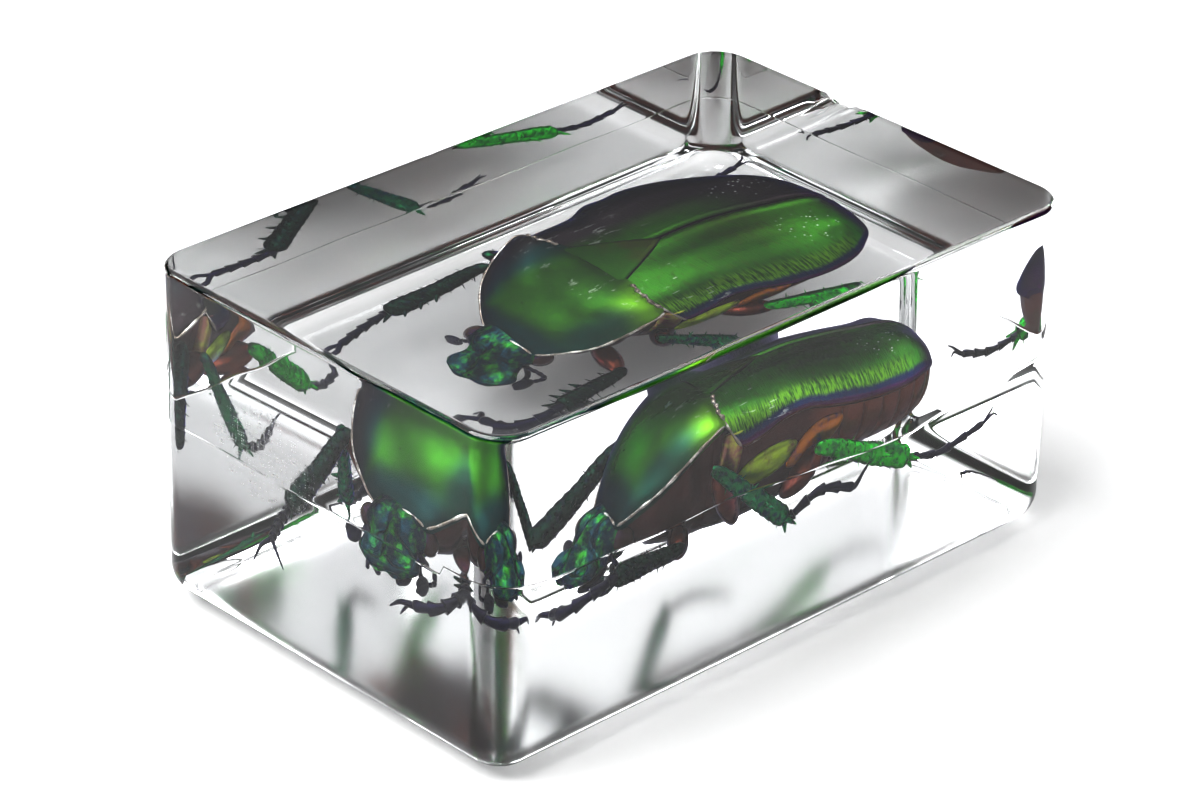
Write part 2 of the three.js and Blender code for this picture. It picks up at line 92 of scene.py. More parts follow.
CHEST_HALF_WIDTH = [(-6.1, 1.9), (-5, 3.2), (-3.5, 4.4), (-1.5, 5.2), (0.6, 5.4)]
CHEST_FLOOR = [(-6.1, -5.4), (-5, -6.3), (-3.5, -6.9), (-1.5, -7.3), (0.6, -7.4)]
RING_GROOVES = (8.9, 10.6, 12.2, 13.7, 15.1, 16.3)

# ---- Head, feelers and legs, in millimetres, in the block's frame ----
NECK = np.array([-6.3, 1.0, 8.0])
MUZZLE = np.array([-10.8, 0.3, 5.2])
HEAD_SIDE = np.array([0.0, 0.993, 0.12])
HEAD_HALF_WIDTH = [(0, 1.9), (0.18, 2.3), (0.34, 2.4), (0.48, 1.85), (0.62, 1.95), (0.8, 2.3), (0.92, 2.15),
                   (1, 1.25)]
HEAD_HALF_DEPTH = [(0, 1.4), (0.2, 1.55), (0.5, 1.3), (0.8, 0.75), (1, 0.25)]
EYE_RADII = (0.78, 0.7, 0.82)
FEELERS = (
    {"stalk": ((-8.1, -0.9, 6.6), (-7.5, -2.0, 5.5), (-7.4, -2.1, 4.9), (-8.1, -1.9, 4.8)),
     "club": ((-8.0, -1.9, 4.8), (-9.3, -1.6, 4.75))},
    {"stalk": ((-8.1, 1.7, 7.0), (-8.4, 3.0, 6.5), (-8.5, 3.9, 5.95)),
     "club": ((-8.45, 3.5, 6.15), (-8.7, 4.5, 5.5))},
)
# shin and tarsus are half-widths, and each claw reaches on from the end of its foot.
LEGS = {
    "left_fore": {"hip": (-3.2, 2.8, 6.2), "knee": (-3.3, 7.2, 9.7), "end": (-8.8, 9.3, 5.1),
                  "foot": ((-10.8, 9.1, 4.6), (-12.8, 8.7, 4.15)), "teeth": 3,
                  "claws": ((-0.9, 1.0, -1.6), (-0.9, -1.3, -1.1)), "shin": 0.875, "tarsus": 0.25},
    "right_fore": {"hip": (-2.9, -1.4, 5.8), "knee": (-4.3, -4.9, 6.1), "end": (-9.6, -5.8, 6.5),
                   "foot": ((-11.4, -5.8, 6.1), (-12.8, -5.0, 5.5), (-13.1, -3.2, 5.0)), "teeth": 3,
                   "claws": ((-0.3, 1.5, -0.6), (0.6, 1.2, -1.1)), "shin": 0.775, "tarsus": 0.3},
    "left_middle": {"hip": (0.6, 3.4, 5.6), "knee": (-1.9, 8.4, 9.3), "end": (1.6, 9.8, 3.7),
                    "foot": ((3.8, 10.1, 3.4), (6.0, 9.9, 4.0)), "teeth": 1,
                    "claws": ((0.9, 0.3, 0.9), (1.1, -0.4, 0.2)), "shin": 0.7, "tarsus": 0.22},
    "right_middle": {"hip": (0.9, -3.0, 5.6), "knee": (-2.1, -5.9, 10.4), "end": (3.3, -6.45, 5.5),
                     "foot": ((5.6, -7.2, 6.6), (8.3, -7.4, 5.9)), "teeth": 1,
                     "claws": ((0.9, -0.4, 1.2), (1.1, 0.4, 0.6)), "shin": 0.7, "tarsus": 0.25},
    "left_hind": {"hip": (5.4, 3.2, 5.8), "knee": (6.9, 7.9, 8.3), "end": (14.0, 8.7, 5.3),
                  "foot": ((16.2, 9.0, 4.9), (18.6, 9.1, 5.5)), "teeth": 1,
                  "claws": ((0.9, 0.4, 0.7), (1.0, -0.4, 0.2)), "shin": 0.825, "tarsus": 0.2},
    "right_hind": {"hip": (4.6, -2.7, 5.8), "knee": (5.9, -6.5, 9.1), "end": (12.9, -7.1, 6.1),
                   "foot": ((15.4, -7.25, 5.5), (17.3, -7.35, 5.8), (19.0, -7.5, 6.2)), "teeth": 1,
                   "claws": ((0.9, 0.3, 0.7), (0.9, -0.4, 0.1)), "shin": 0.825, "tarsus": 0.2},
}
TOOTH_PLACES = (0.66, 0.82, 0.5)
BRISTLES = 30
# Each knot is (share of the way down the head, out to the side, up).
JAWS = (
    {"knots": ((0.5, 0.9, -1.2), (0.75, 1.15, -1.35), (0.93, 0.7, -0.9)),
     "root": 0.42, "loss": 0.5, "sides": 16},
    {"knots": ((0.45, 1.5, -1.3), (0.62, 2.0, -1.8), (0.8, 1.9, -1.9)),
     "root": 0.2, "loss": 0.25, "sides": 12},
)

# ---- The plates on the sides, by place along the body and angle below the rim ----
SIDE_PLATES = {
    "shoulder_plates": {"centre": (0.9, 8), "size": (0.75, 22), "lean": -0.5, "lift": 0.35,
                        "shades": ((0.2, 0.09, 0.07), (0.32, 0.38, 0.05))},
    "flank_plates": {"centre": (3.5, 21), "size": (2.1, 9.5), "lean": -0.9, "lift": 0.35,
                     "shades": ((0.24, 0.34, 0.02), (0.1, 0.045, 0.03))},
    "hip_plates": {"centre": (7.2, 19), "size": (1.5, 12.5), "lean": -1.1, "lift": 0.3,
                   "shades": ((0.32, 0.11, 0.012), (0.05, 0.03, 0.09))},
}

# ---- The resin block, in millimetres ----
# The rubbed end by the head: its depth along x, then its patch's middle and squared spread in y and z.
SCRATCH_ROUGHNESS = 0.22
RUBBED_END = (-21.7, -21.9)
RUBBED_PLACE, RUBBED_SPREAD = (4.5, 12.5), (30.0, 14.0)
GROOVE_DEPTH, GROOVE_WIDTH, GROOVE_MARGIN = 0.015, 0.05, 0.4
GROOVE_STEPS = (-0.12, -0.07, -0.035, 0, 0.035, 0.07, 0.12)
# The chip lies along y on the tail end, and the nick along x on the far side.
CHIP_PLACE, CHIP_HALF_WIDTH = 3.4, 1.5
NICK_PLACE, NICK_HALF_WIDTH, NICK_SHARE = -1.5, 0.7, 0.35
CHIP_REACH = 2.5

# ---- Fixed shades, red, green and blue ----
ASLANT_TINT = (0.05, 0.02, 0.4)
# Painted highlight: brighter green at the front and tail of the right wing case.
CASE_PAINTED_HIGHLIGHT = (0.042, 0.2, 0.014)
HAIR_BLACK = (0.002, 0.003, 0.002)
SEAM_BLACK = (0.002, 0.002, 0.002)
PALE_SPOTS = (0.6, 0.65, 0.6)
PRONOTUM_DEEP = (0.015, 0.06, 0.006)
# Painted highlight over the pronotum's middle.
PRONOTUM_PAINTED_HIGHLIGHT = (0.04, 0.18, 0.012)
# Painted shade: dark teal low on the pronotum's right side.
PRONOTUM_PAINTED_SHADE = (0.008, 0.055, 0.045)
PRONOTUM_PITS = (0.004, 0.012, 0.004)
PRONOTUM_DUST = (0.3, 0.32, 0.3)
SCUTELLUM_SEAM = (0.003, 0.004, 0.003)
SHIN_DARK = ((0.004, 0.02, 0.012), (0.003, 0.006, 0.012))
SHIN_TEAL = ((0.01, 0.14, 0.05), (0.006, 0.03, 0.05))
SHIN_PATCH = (0.012, 0.13, 0.03)
SHIN_PITS = (0.003, 0.012, 0.006)
RING_GLINT = (0.05, 0.06, 0.01)
BREAST_DARK = (0.02, 0.012, 0.008)
RIM_PALE = ((0.2, 0.17, 0.14), (0.85, 0.85, 0.8))
# Dark teal, with the bright green second shade as painted glints.
HEAD_TEAL_AND_PAINTED_GLINTS = ((0.004, 0.024, 0.038), (0.03, 0.24, 0.02))
EYE_BROWN = ((0.03, 0.014, 0.006), (0.05, 0.025, 0.012))
MOUTH_PATCH = (0.012, 0.012, 0.01)
THIGH_PATCH = (0.04, 0.014, 0.016)
FEET_PATCH = (0.012, 0.012, 0.014)
ROOM_WHITE = (0.985, 0.99, 1.0)

# ---- The stage, in metres and degrees. CAMERA_TURN is azimuth, elevation and roll ----
FLOOR_REACH, FLOOR_POINTS, FLOOR_DROP = 1.5, 9, 0.0003
LAMP_TARGET = np.array([0.0, 0.0, 0.01])
LAMPS = {
    "left_lamp": {"share": 0.9, "size": (0.45, 0.6), "place": (-0.3, 0.12, 0.53)},
    "right_lamp": {"share": 0.17, "size": (0.3, 0.35), "place": (0.42, -0.04, 0.42)},
}
# The room's light rises between two heights, the sines of angles, and has an even part and a slope each way.
ROOM_LOW, ROOM_RISE = 0.004, (0.33, 0.6)
ROOM_SIDES = (1.155, -0.0525, 0.21)
CAMERA_TURN = (-44.08, 28.17, 1.077)
CAMERA_HEIGHT = 0.01049
CAMERA_SHIFT = (0.000752, 0.000475)
CAMERA_DISTANCE = 0.2781
CAMERA_LENS, CAMERA_SENSOR = 147.57, 36.0


# ---- Surfaces ----
def along(points, x):
    """A smooth value at x along a list of (position, value), by a cubic through the values."""
    xs, ys = np.array(points, float).T
    last = len(xs) - 1
    i = np.clip(np.searchsorted(xs, x, side="left") - 1, 0, last - 1)
    before, after = np.maximum(i - 1, 0), np.minimum(i + 2, last)
    step = xs[i + 1] - xs[i]
    m0 = (ys[i + 1] - ys[before]) / (xs[i + 1] - xs[before]) * step
    m1 = (ys[after] - ys[i]) / (xs[after] - xs[i]) * step
    t = np.clip((x - xs[i]) / step, 0, 1)
    return ((2 * t**3 - 3 * t**2 + 1) * ys[i] + (t**3 - 2 * t**2 + t) * m0
            + (3 * t**2 - 2 * t**3) * ys[i + 1] + (t**3 - t**2) * m1)


def ridge(value, at, width):
    """A smooth ridge one unit high, where the value is at a place."""
    return np.exp(-(((value - at) / width) ** 2))


def bump(x, y, at, size):
    """A smooth mound one unit high, centred at a point, with a size each way."""
    return ridge(x, at[0], size[0]) * ridge(y, at[1], size[1])


def body_points(x, y, z):
    """Points of the body's frame in the block's frame: swung at the prothorax, rolled, turned and placed."""
    y = y + np.where(x < 0, PROTHORAX_TURN * x, 0.0)
    c, s = np.cos(BODY_ROLL), np.sin(BODY_ROLL)
    y, z = y * c - z * s, y * s + z * c
    c, s = np.cos(BODY_YAW), np.sin(BODY_YAW)
    x, y = x * c - y * s, x * s + y * c
    return np.stack(np.broadcast_arrays(x, y, z), axis=-1) + BODY_PLACE


def grid_faces(rows, columns, wrap):
    """Four-sided faces of a grid of vertices, whose columns may close on themselves."""
    r, c = np.meshgrid(np.arange(rows - 1), np.arange(columns if wrap else columns - 1), indexing="ij")
    d = (c + 1) % columns
    corners = [r * columns + c, r * columns + d, (r + 1) * columns + d, (r + 1) * columns + c]
    return np.stack(corners, -1).reshape(-1, 4)


def tube(rings):
    """A closed skin over rings of points, shape (rings, around, 3), with a fan of faces at each end."""
    rows, columns, _ = rings.shape
    points = np.concatenate([rings.reshape(-1, 3), rings[:1].mean(1), rings[-1:].mean(1)])
    c = np.arange(columns)
    d = (c + 1) % columns
    pole, row = np.full(columns, rows * columns), (rows - 1) * columns
    first = np.stack([pole, d, c], -1)
    last = np.stack([pole + 1, row + c, row + d], -1)
    return points, [grid_faces(rows, columns, True), first, last]


def plate(top, under):
    """A closed plate between two grids of the same shape, joined round their edges."""
    rows, columns, _ = top.shape
    count = rows * columns
    points = np.concatenate([top.reshape(-1, 3), under.reshape(-1, 3)])
    index = np.arange(count).reshape(rows, columns)
    edge = np.concatenate([index[0, :-1], index[:-1, -1], index[-1, :0:-1], index[:0:-1, 0]])
    following = np.roll(edge, -1)
    walls = np.stack([edge, edge + count, following + count, following], -1)
    upper = grid_faces(rows, columns, False)
    return points, [upper, upper[:, ::-1] + count, walls]


def mapped(u, v):
    """The map of a plate: the same place on both of its sides."""
    uv = np.stack(np.broadcast_arrays(u, v), -1).reshape(-1, 2)
    return np.concatenate([uv, uv])


def enclosed(points, faces):
    """The volume inside a closed skin, negative where its faces look inwards."""
    total = 0.0
    for group in faces:
        for k in range(1, group.shape[1] - 1):
            a, b, c = points[group[:, 0]], points[group[:, k]], points[group[:, k + 1]]
            total += np.einsum("ij,ij->i", a, np.cross(b, c)).sum() / 6
    return total


def outwards(skin):
    """The skin with its faces looking outwards."""
    points, faces = skin
    return (points, faces) if enclosed(points, faces) > 0 else (points, [group[:, ::-1] for group in faces])


def together(skins):
    """Several closed skins in one list of points and faces, each looking outwards."""
    points, faces, start = [], [], 0
    for some, groups in map(outwards, skins):
        points.append(some)
        faces.extend(group + start for group in groups)
        start += len(some)
    return np.concatenate(points), faces


def path_points(knots, count):
    """Evenly spaced points on a smooth curve through the knots: a Catmull-Rom curve, resampled by length."""
    knots = np.array(knots, float)
    ends = np.concatenate([[2 * knots[0] - knots[1]], knots, [2 * knots[-1] - knots[-2]]])
    time = np.concatenate([[0], np.cumsum(np.sqrt(np.linalg.norm(np.diff(ends, axis=0), axis=1)))])
    t = np.linspace(time[1], time[-2], 40 * len(knots))
    i = np.clip(np.searchsorted(time, t, side="right") - 1, 1, len(ends) - 3)

    def blend(a, b, ta, tb):
        return ((tb - t) / (tb - ta))[:, None] * a + ((t - ta) / (tb - ta))[:, None] * b

    p0, p1, p2, p3 = (ends[i + k] for k in (-1, 0, 1, 2))
    t0, t1, t2, t3 = (time[i + k] for k in (-1, 0, 1, 2))
    a1, a2, a3 = blend(p0, p1, t0, t1), blend(p1, p2, t1, t2), blend(p2, p3, t2, t3)
    curve = blend(blend(a1, a2, t0, t2), blend(a2, a3, t1, t3), t1, t2)
    length = np.concatenate([[0], np.cumsum(np.linalg.norm(np.diff(curve, axis=0), axis=1))])
    places = np.linspace(0, length[-1], count)
    return np.stack([np.interp(places, length, curve[:, k]) for k in range(3)], -1)


def once_round(count):
    """Angles once round, in a row."""
    return np.linspace(0, 2 * np.pi, count, endpoint=False)[None, :]


def limb(knots, thickness, around, stations, flat=1.0):
    """A limb along a curve. thickness(share, angle) is its radius, and flat its squash sideways."""
    centre = path_points(knots, stations)
    tangent = np.gradient(centre, axis=0)
    tangent /= np.linalg.norm(tangent, axis=1)[:, None]
    side = np.cross(tangent, (0, 0, 1))
    side /= np.linalg.norm(side, axis=1)[:, None]
    lift = np.cross(side, tangent)
    t = np.linspace(0, 1, stations)[:, None]
    angle = once_round(around)
    radius = thickness(t, angle) * np.sqrt(np.clip(1 - (2 * t - 1) ** 16, 0.0004, 1))
    rings = (centre[:, None] + (radius * np.cos(angle))[..., None] * side[:, None] * flat
             + (radius * np.sin(angle))[..., None] * lift[:, None])
    return tube(rings)


def tapered(root, loss):
    """The thickness of a limb that loses a share of its radius from root to tip."""
    return lambda t, angle: root * (1 - loss * t)


def uneven(radius, swell, waves):
    """The thickness of a bead that swells and thins along its way."""
    return lambda t, angle: radius + swell * np.sin(waves * t)


def dome(half_width, crest, rim, y):
    """The height of a domed back at y: full along the middle and steep at the rim."""
    return rim + (crest - rim) * (1 - np.minimum(np.abs(y) / half_width, 1) ** 2.3) ** 0.62


def crowded(low, high, count):
    """Positions from low to high that crowd towards both ends, in a column."""
    return low + (high - low) * (0.5 - 0.5 * np.cos(np.pi * np.linspace(0, 1, count)[:, None]))


# ---- The beetle's pieces ----
def front_slant(angle):
    """How far back the front edge of a wing case lies, by the angle from its rim up to the seam."""
    return 1.45 * (1 - np.sin(angle)) ** 1.6


def corner_bay(y):
    """How far the pronotum's hind edge draws in before each corner."""
    return 0.25 * ridge(np.abs(y), 5.0, 1.2)


def wing_case(side):
    """One wing case: half the dome from the seam to the rim, a thin shell.

    Its front edge slants back down the side, where the shoulder plate shows. The seam swings a little to the
    left in the middle, and the left case bulges behind its shoulder. The edge turns down at the seam, with a
    low ridge beside it. A knob stands over the shoulder and one near the tail. The map runs from the front to
    the tail, and from the rim to the seam."""
    t = crowded(0, 1, 150)
    angle = np.linspace(np.pi / 2, 0, 90)[None, :]
    front = 0.12 + front_slant(angle)
    x = front + (CASES_LENGTH - front) * t
    swing = 0.6 * ridge(x, 9.5, 4.5)
    bulge = 0.3 * np.clip((x - 4) / 4, 0, 1) + 0.55 * ridge(x, 5.3, 1.1)
    width = along(CASES_HALF_WIDTH, x) + (bulge if side > 0 else swing)
    y = np.maximum(width * np.cos(angle), 0.03)
    z = dome(width, along(CASES_CREST, x), along(CASES_RIM, x), y)
    z = z - 0.3 * ridge(y, 0, 0.12) + 0.09 * ridge(y, 0.5, 0.3)
    for height, at, size in CASE_RELIEF.values():
        z = z + height * bump(x, y, at, size)
    bead = 0.1 * ridge(angle, 0.16, 0.08)
    top = body_points(x, swing + side * (y + bead), z)
    inward = np.minimum(CASE_THICKNESS, y * 0.5)
    under = body_points(x * 0.985 + 0.1, swing + side * (y - inward), z - 0.32 * (0.4 + 0.6 * np.sin(angle)))
    return (*plate(top, under), mapped(t, angle / (np.pi / 2)))


def scutellum():
    """The triangular plate between the bases of the wing cases, point backwards, its edges rounded down."""
    t = crowded(0, 1, 50)
    a = np.linspace(-1, 1, 41)[None, :]
    x = 0.15 + 5.2 * t
    y = SCUTELLUM_HALF_WIDTH * (1 - t) ** 0.92 * a + 0.02 * a
    edge = np.minimum((1 - np.abs(a)) * SCUTELLUM_HALF_WIDTH * (1 - t), SCUTELLUM_ROUND) / SCUTELLUM_ROUND
    z = along(CASES_CREST, x) - 0.036 * y**2 + 0.02 + 0.15 * np.sqrt(np.clip(edge, 0, 1))
    return (*plate(body_points(x, y, z), body_points(x, y, z - 0.6)), mapped(t, edge))


def pronotum():
    """The shield over the prothorax: a dome that narrows to the front, with a beaded rim turned under."""
    t = crowded(0, 1, 110)
    x = 7.1 * t - 6.6
    angle = np.linspace(np.pi, 0, 121)[None, :]
    width = along(PRONOTUM_HALF_WIDTH, x)
    y = width * np.cos(angle)
    z = dome(width, along(PRONOTUM_CREST, x), along(PRONOTUM_RIM, x), y)
    lobe = 0.22 * ridge(y, 0, 3.2) - corner_bay(y)
    x = x + lobe * np.clip((x + 2.5) / 3.0, 0, 1) ** 2
    top = body_points(x, y, z)
    under = body_points(x + 0.15 * np.clip(-x / 6, 0, 1), y * 0.93, z - 0.45 - 0.25 * np.sin(angle))
    return (*plate(top, under), mapped(t, angle / np.pi))


def pronotum_rim():
    """A pale bead round the pronotum's sides, hind corners and front, and down each case's front edge."""
    skins = []
    for side in (-1, 1):
        x = np.linspace(0.3, -6.45, 24)
        edge = body_points(x, side * (along(PRONOTUM_HALF_WIDTH, x) + 0.02), along(PRONOTUM_RIM, x) + 0.06)
        skins.append(limb(edge, lambda t, turn: 0.1 + 0.035 * np.sin(37 * t) * np.sin(11 * t), 12, 120))
        y = side * np.linspace(3.2, 5.95, 16)
        x = 0.42 - corner_bay(y) + 0.05 * np.sin(5 * y)
        hind = body_points(x, y, dome(6.15, 1.6, 0.1, y) + 0.03)
        skins.append(limb(hind, uneven(0.13, 0.05, 29), 12, 90))
    y = np.linspace(-2.1, 2.1, 15)
    front = body_points(-6.55 - 0.12 * np.cos(y * 0.7), y, dome(2.3, -3.75, -4.5, y))
    skins.append(limb(front, uneven(0.07, 0.02, 23), 12, 60))
    angle = np.linspace(0.05, 1.05, 24)
    x = 0.06 + front_slant(angle)
    width = along(CASES_HALF_WIDTH, x) + 0.04
    y = width * np.cos(angle)
    z = dome(width, along(CASES_CREST, x), along(CASES_RIM, x), y)
    skins += [limb(body_points(x, side * y, z), uneven(0.09, 0.03, 19), 12, 80) for side in (-1, 1)]
    return together(skins)


def belly_section(x, angle, out=0.0):
    """The underside at x: nearly upright sides and a rounded floor. out lifts the surface outwards."""
    s, c = np.sin(angle), np.cos(angle)
    top = along(BELLY_TOP, x)
    y = (along(BELLY_HALF_WIDTH, x) + out) * c
    below = top + (along(BELLY_FLOOR, x) - out - top) * np.abs(s) ** 0.85
    return y, np.where(s > 0, top + 0.4 * s, below)


def belly():
    """The hind body: rings with sunken joints, and the breast in front of them with a shallow trough."""
    x = crowded(-1.4, 17.5, 220)
    angle = once_round(96)
    joints = sum(ridge(x - 0.35 * np.cos(angle) ** 2, at, 0.14) for at in RING_GROOVES)
    trough = 0.15 * ridge(np.cos(angle), 0, 0.18) * np.clip((7.5 - x) / 3, 0, 1)
    out = (-0.16 * joints - trough) * (np.sin(angle) < 0)
    y, z = belly_section(x, angle, out)
    return tube(body_points(x, y, z))


def chest():
    """The underside of the prothorax, a hull from the neck back to the breast."""
    x = crowded(-6.1, 0.6, 60)
    angle = once_round(72)
    s = np.sin(angle)
    rim = along(PRONOTUM_RIM, x) - 0.3
    folds = 0.12 * np.sin(3.1 * x + 2 * np.cos(angle) ** 2)
    y = (along(CHEST_HALF_WIDTH, x) + folds) * np.cos(angle)
    z = np.where(s > 0, rim + 0.5 * s, rim + (along(CHEST_FLOOR, x) - rim) * np.abs(s) ** 0.9)
    return tube(body_points(x, y, z))


def side_plate(side, form):
    """A pillow on the body's side: an oval patch of the underside's surface, raised most in its middle.

    The form's centre and size are (place along the body, angle below the rim), and lean slants the oval."""
    centre, size = form["centre"], form["size"]
    r = np.sin(np.linspace(0, np.pi / 2, 24))[:, None]
    turn = once_round(48)
    u = r * np.sign(np.cos(turn)) * np.abs(np.cos(turn)) ** 0.8
    v = r * np.sign(np.sin(turn)) * np.abs(np.sin(turn)) ** 0.8
    x = centre[0] + size[0] * u + form["lean"] * v
    below = np.radians(centre[1] + size[1] * v)
    y, z = belly_section(x, -below, form["lift"] * np.sqrt(np.clip(1 - r**2.4, 0, 1)))
    low_y, low_z = belly_section(x, -below, -0.25)
    top = body_points(x, side * y, z)
    low = body_points(x, side * low_y, low_z)
    return tube(np.concatenate([top, low[:0:-1]]))


def head_points(t, side, up):
    """Points of the head: t from the neck to the front of the face shield, then sideways and up in mm."""
    axis = MUZZLE - NECK
    across = HEAD_SIDE - axis * (HEAD_SIDE @ axis) / (axis @ axis)
    across /= np.linalg.norm(across)
    lift = np.cross(across, axis)
    lift /= np.linalg.norm(lift)
    t, side, up = np.broadcast_arrays(t, side, up)
    return NECK + t[..., None] * axis + side[..., None] * across + up[..., None] * lift


def head():
    """The head: two brows beside a keel, then the broad face shield, dished on both sides of the keel.

    The shield has rounded corners, an upturned front edge and a shallow notch in the middle."""
    t = crowded(0, 1, 110)
    angle = once_round(120)
    c, s = np.cos(angle), np.sin(angle)
    side = along(HEAD_HALF_WIDTH, t) * np.sign(c) * np.abs(c) ** 0.8
    depth = along(HEAD_HALF_DEPTH, t)
    out = np.abs(side)
    keel = 0.42 * ridge(side, 0, 0.34) * np.clip((t - 0.12) * 4, 0, 1)
    brow = 0.38 * bump(out, t, (1.25, 0.3), (0.5, 0.13))
    fold = -0.3 * ridge(t - 0.05 * out, 0.48, 0.045) * (1 - ridge(side, 0, 0.5))
    dish = -0.34 * bump(out, t, (1.15, 0.72), (0.6, 0.14))
    lip = 0.3 * ridge(t, 0.96, 0.045) + 0.24 * ridge(out, 2.0, 0.2) * (t > 0.55)
    up = np.where(s > 0, 0.75 * depth * s + (keel + brow + fold + dish + lip) * np.sqrt(np.clip(s, 0, 1)),
                  1.25 * depth * s)
    notch = 0.06 * ridge(side, 0, 0.4) * np.clip((t - 0.8) * 5, 0, 1)
    rounded = 0.022 * side**2 * np.clip((t - 0.6) * 3, 0, 1)
    return tube(head_points(t - notch - rounded, side, up))


def ball(centre, radii):
    """A closed oval ball."""
    v = np.linspace(0.03, np.pi - 0.03, 24)[:, None]
    u = once_round(32)
    unit = np.stack(np.broadcast_arrays(np.sin(v) * np.cos(u), np.sin(v) * np.sin(u), np.cos(v)), -1)
    return tube(np.array(centre) + unit * np.array(radii))


def eyes():
    """Two oval eyes, half sunk in the sides of the head."""
    return together([ball(head_points(0.26, side * 2.25, -0.25), EYE_RADII) for side in (-1, 1)])


def mouth():
    """The dark jaws and palps under the face shield."""
    skins = []
    for side in (-1, 1):
        for jaw in JAWS:
            line = [head_points(t, side * out, up) for t, out, up in jaw["knots"]]
            skins.append(limb(line, tapered(jaw["root"], jaw["loss"]), jaw["sides"], 24))
    return together(skins)


def feelers():
    """Feelers of small beads, each with a club of three close leaves."""
    def beads(t, angle):
        return 0.13 + 0.05 * np.abs(np.sin(7 * np.pi * t))

    def leaf(t, angle):
        return 0.42 * np.sin(np.pi * (0.92 * t + 0.05)) ** 0.6

    skins = []
    for feeler in FEELERS:
        skins.append(limb(feeler["stalk"], beads, 14, 60))
        start, end = np.array(feeler["club"])
        for shift in (-0.2, 0.0, 0.2):
            lift = np.array([0.0, 0.35, 1.0]) * shift
            skins.append(limb([start + lift * 0.4, (start + end) / 2 + lift, end + lift], leaf, 20, 24, 0.3))
    return together(skins)


def back_from(joint, towards, by):
    """A point a little way back from one joint towards another."""
    joint, towards = np.array(joint, float), np.array(towards, float)
    return joint + (towards - joint) * by / np.linalg.norm(towards - joint)


def thighs():
    """The six thighs: flattened spindles with a shallow crease for the folded shin."""
    def spindle(t, angle):
        return 1.05 * (0.35 + 0.65 * np.sin(np.pi * t) ** 0.8) * (1 - 0.08 * ridge(angle, 1.57, 0.35))

    return together([limb([leg["hip"], leg["knee"]], spindle, 40, 60, 0.72) for leg in LEGS.values()])


def shin_skins(leg):
    """A shin with a ridge down its outer edge, teeth and bristles along it, and two spurs at the end."""
    hip, knee, end = (np.array(leg[name]) for name in ("hip", "knee", "end"))
    width = leg["shin"]

    def rough(t, angle):
        edged = 1 + 0.1 * np.cos(angle) ** 6 - 0.05 * np.cos(3 * angle)
        pitted = 1 + 0.07 * np.sin(43 * t + 3 * angle) * np.sin(29 * t + angle)
        return width * (0.55 + 0.45 * t**0.8) * edged * pitted

    axis = (end - knee) / np.linalg.norm(end - knee)
    out = np.cross((0, 0, 1), axis)
    out *= np.sign(knee[1]) / np.linalg.norm(out)
    up = np.cross(axis, out) * np.sign(knee[1])
    skins = [limb([back_from(knee, hip, 0.5), knee, (knee + end) / 2, end], rough, 36, 110, 0.8)]
    tooth = 0.5 * axis + (0.6 + 0.8 * width) * out + 0.15 * up
    spikes = [(0.96, 0.95 * axis + (0.35 + 0.6 * width) * out + 0.1 * up),
              (0.97, 0.95 * axis - 0.25 * out - 0.7 * up)]
    spikes += [(at, tooth) for at in TOOTH_PLACES[:leg["teeth"]]]
    for at, reach in spikes:
        start = knee + (end - knee) * at
        skins.append(limb([start, start + reach], tapered(0.3, 0.85), 12, 20))
    for k in range(BRISTLES):
        turn = 2.4 * k
        start = knee + (end - knee) * (0.12 + 0.029 * k)
        reach = 0.35 * axis + (0.45 + 0.6 * width) * (np.cos(turn) * out + np.sin(turn) * up)
        skins.append(limb([start, start + reach], tapered(0.08, 0.8), 6, 8))
    return skins


def shins():
    """The six shins."""
    return together([skin for leg in LEGS.values() for skin in shin_skins(leg)])


def foot_skins(leg):
    """A foot of five joints, each flared at its far end, with bristles, and two hooked claws."""
    def flared(t, angle):
        step = np.mod(5 * t, 1.0)
        return leg["tarsus"] * (1 + 0.7 * step**1.6 * (step < 0.93))

    knots = [back_from(leg["end"], leg["knee"], 0.5), leg["end"], *leg["foot"]]
    skins = [limb(knots, flared, 20, 160)]
    line = path_points(knots, 61)
    for joint in (12, 24, 36, 48):
        for turn in (-1, 1):
            tip = line[joint] + (line[joint] - line[joint - 2]) * 0.5 + np.array([0.05, turn * 0.28, -0.22])
            skins.append(limb([line[joint - 1], (line[joint] + tip) / 2, tip], tapered(0.08, 0.8), 8, 10))
    last = np.array(knots[-1])
    wrist = back_from(last, knots[-2], 0.45)
    for claw in np.array(leg["claws"]):
        bend = last + claw * 0.5 + np.array([np.sign(claw[0]) * 0.3, 0, 0.3])
        hook = [wrist, last, bend, last + 1.15 * claw]
        skins.append(limb(hook, tapered(0.95 * leg["tarsus"], 0.8), 12, 36))
    return skins


def feet():
    """The six feet with their claws."""
    return together([skin for leg in LEGS.values() for skin in foot_skins(leg)])


# ---- The resin block ----
def rounded_rectangles(size, corner, inset):
    """The block's outline for each inset: four corner arcs, joined by straight sides of many points."""
    arc = np.radians(np.linspace(0, 90, 25))
    corners = []
    for k, (sx, sy) in enumerate(((1, 1), (-1, 1), (-1, -1), (1, -1))):
        angle = arc + k * np.pi / 2
        centre = np.array([sx * (size[0] / 2 - corner), sy * (size[1] / 2 - corner)])
        turned = np.stack([np.cos(angle), np.sin(angle)], -1)
        corners.append(centre + (corner - inset)[:, None, None] * turned)
    share = np.linspace(0, 1, 80)[1:-1, None]
    outline = []
    for this, following in zip(corners, corners[1:] + corners[:1]):
        outline += [this, this[:, -1:] * (1 - share) + following[:, :1] * share]
    return np.concatenate(outline, axis=1)


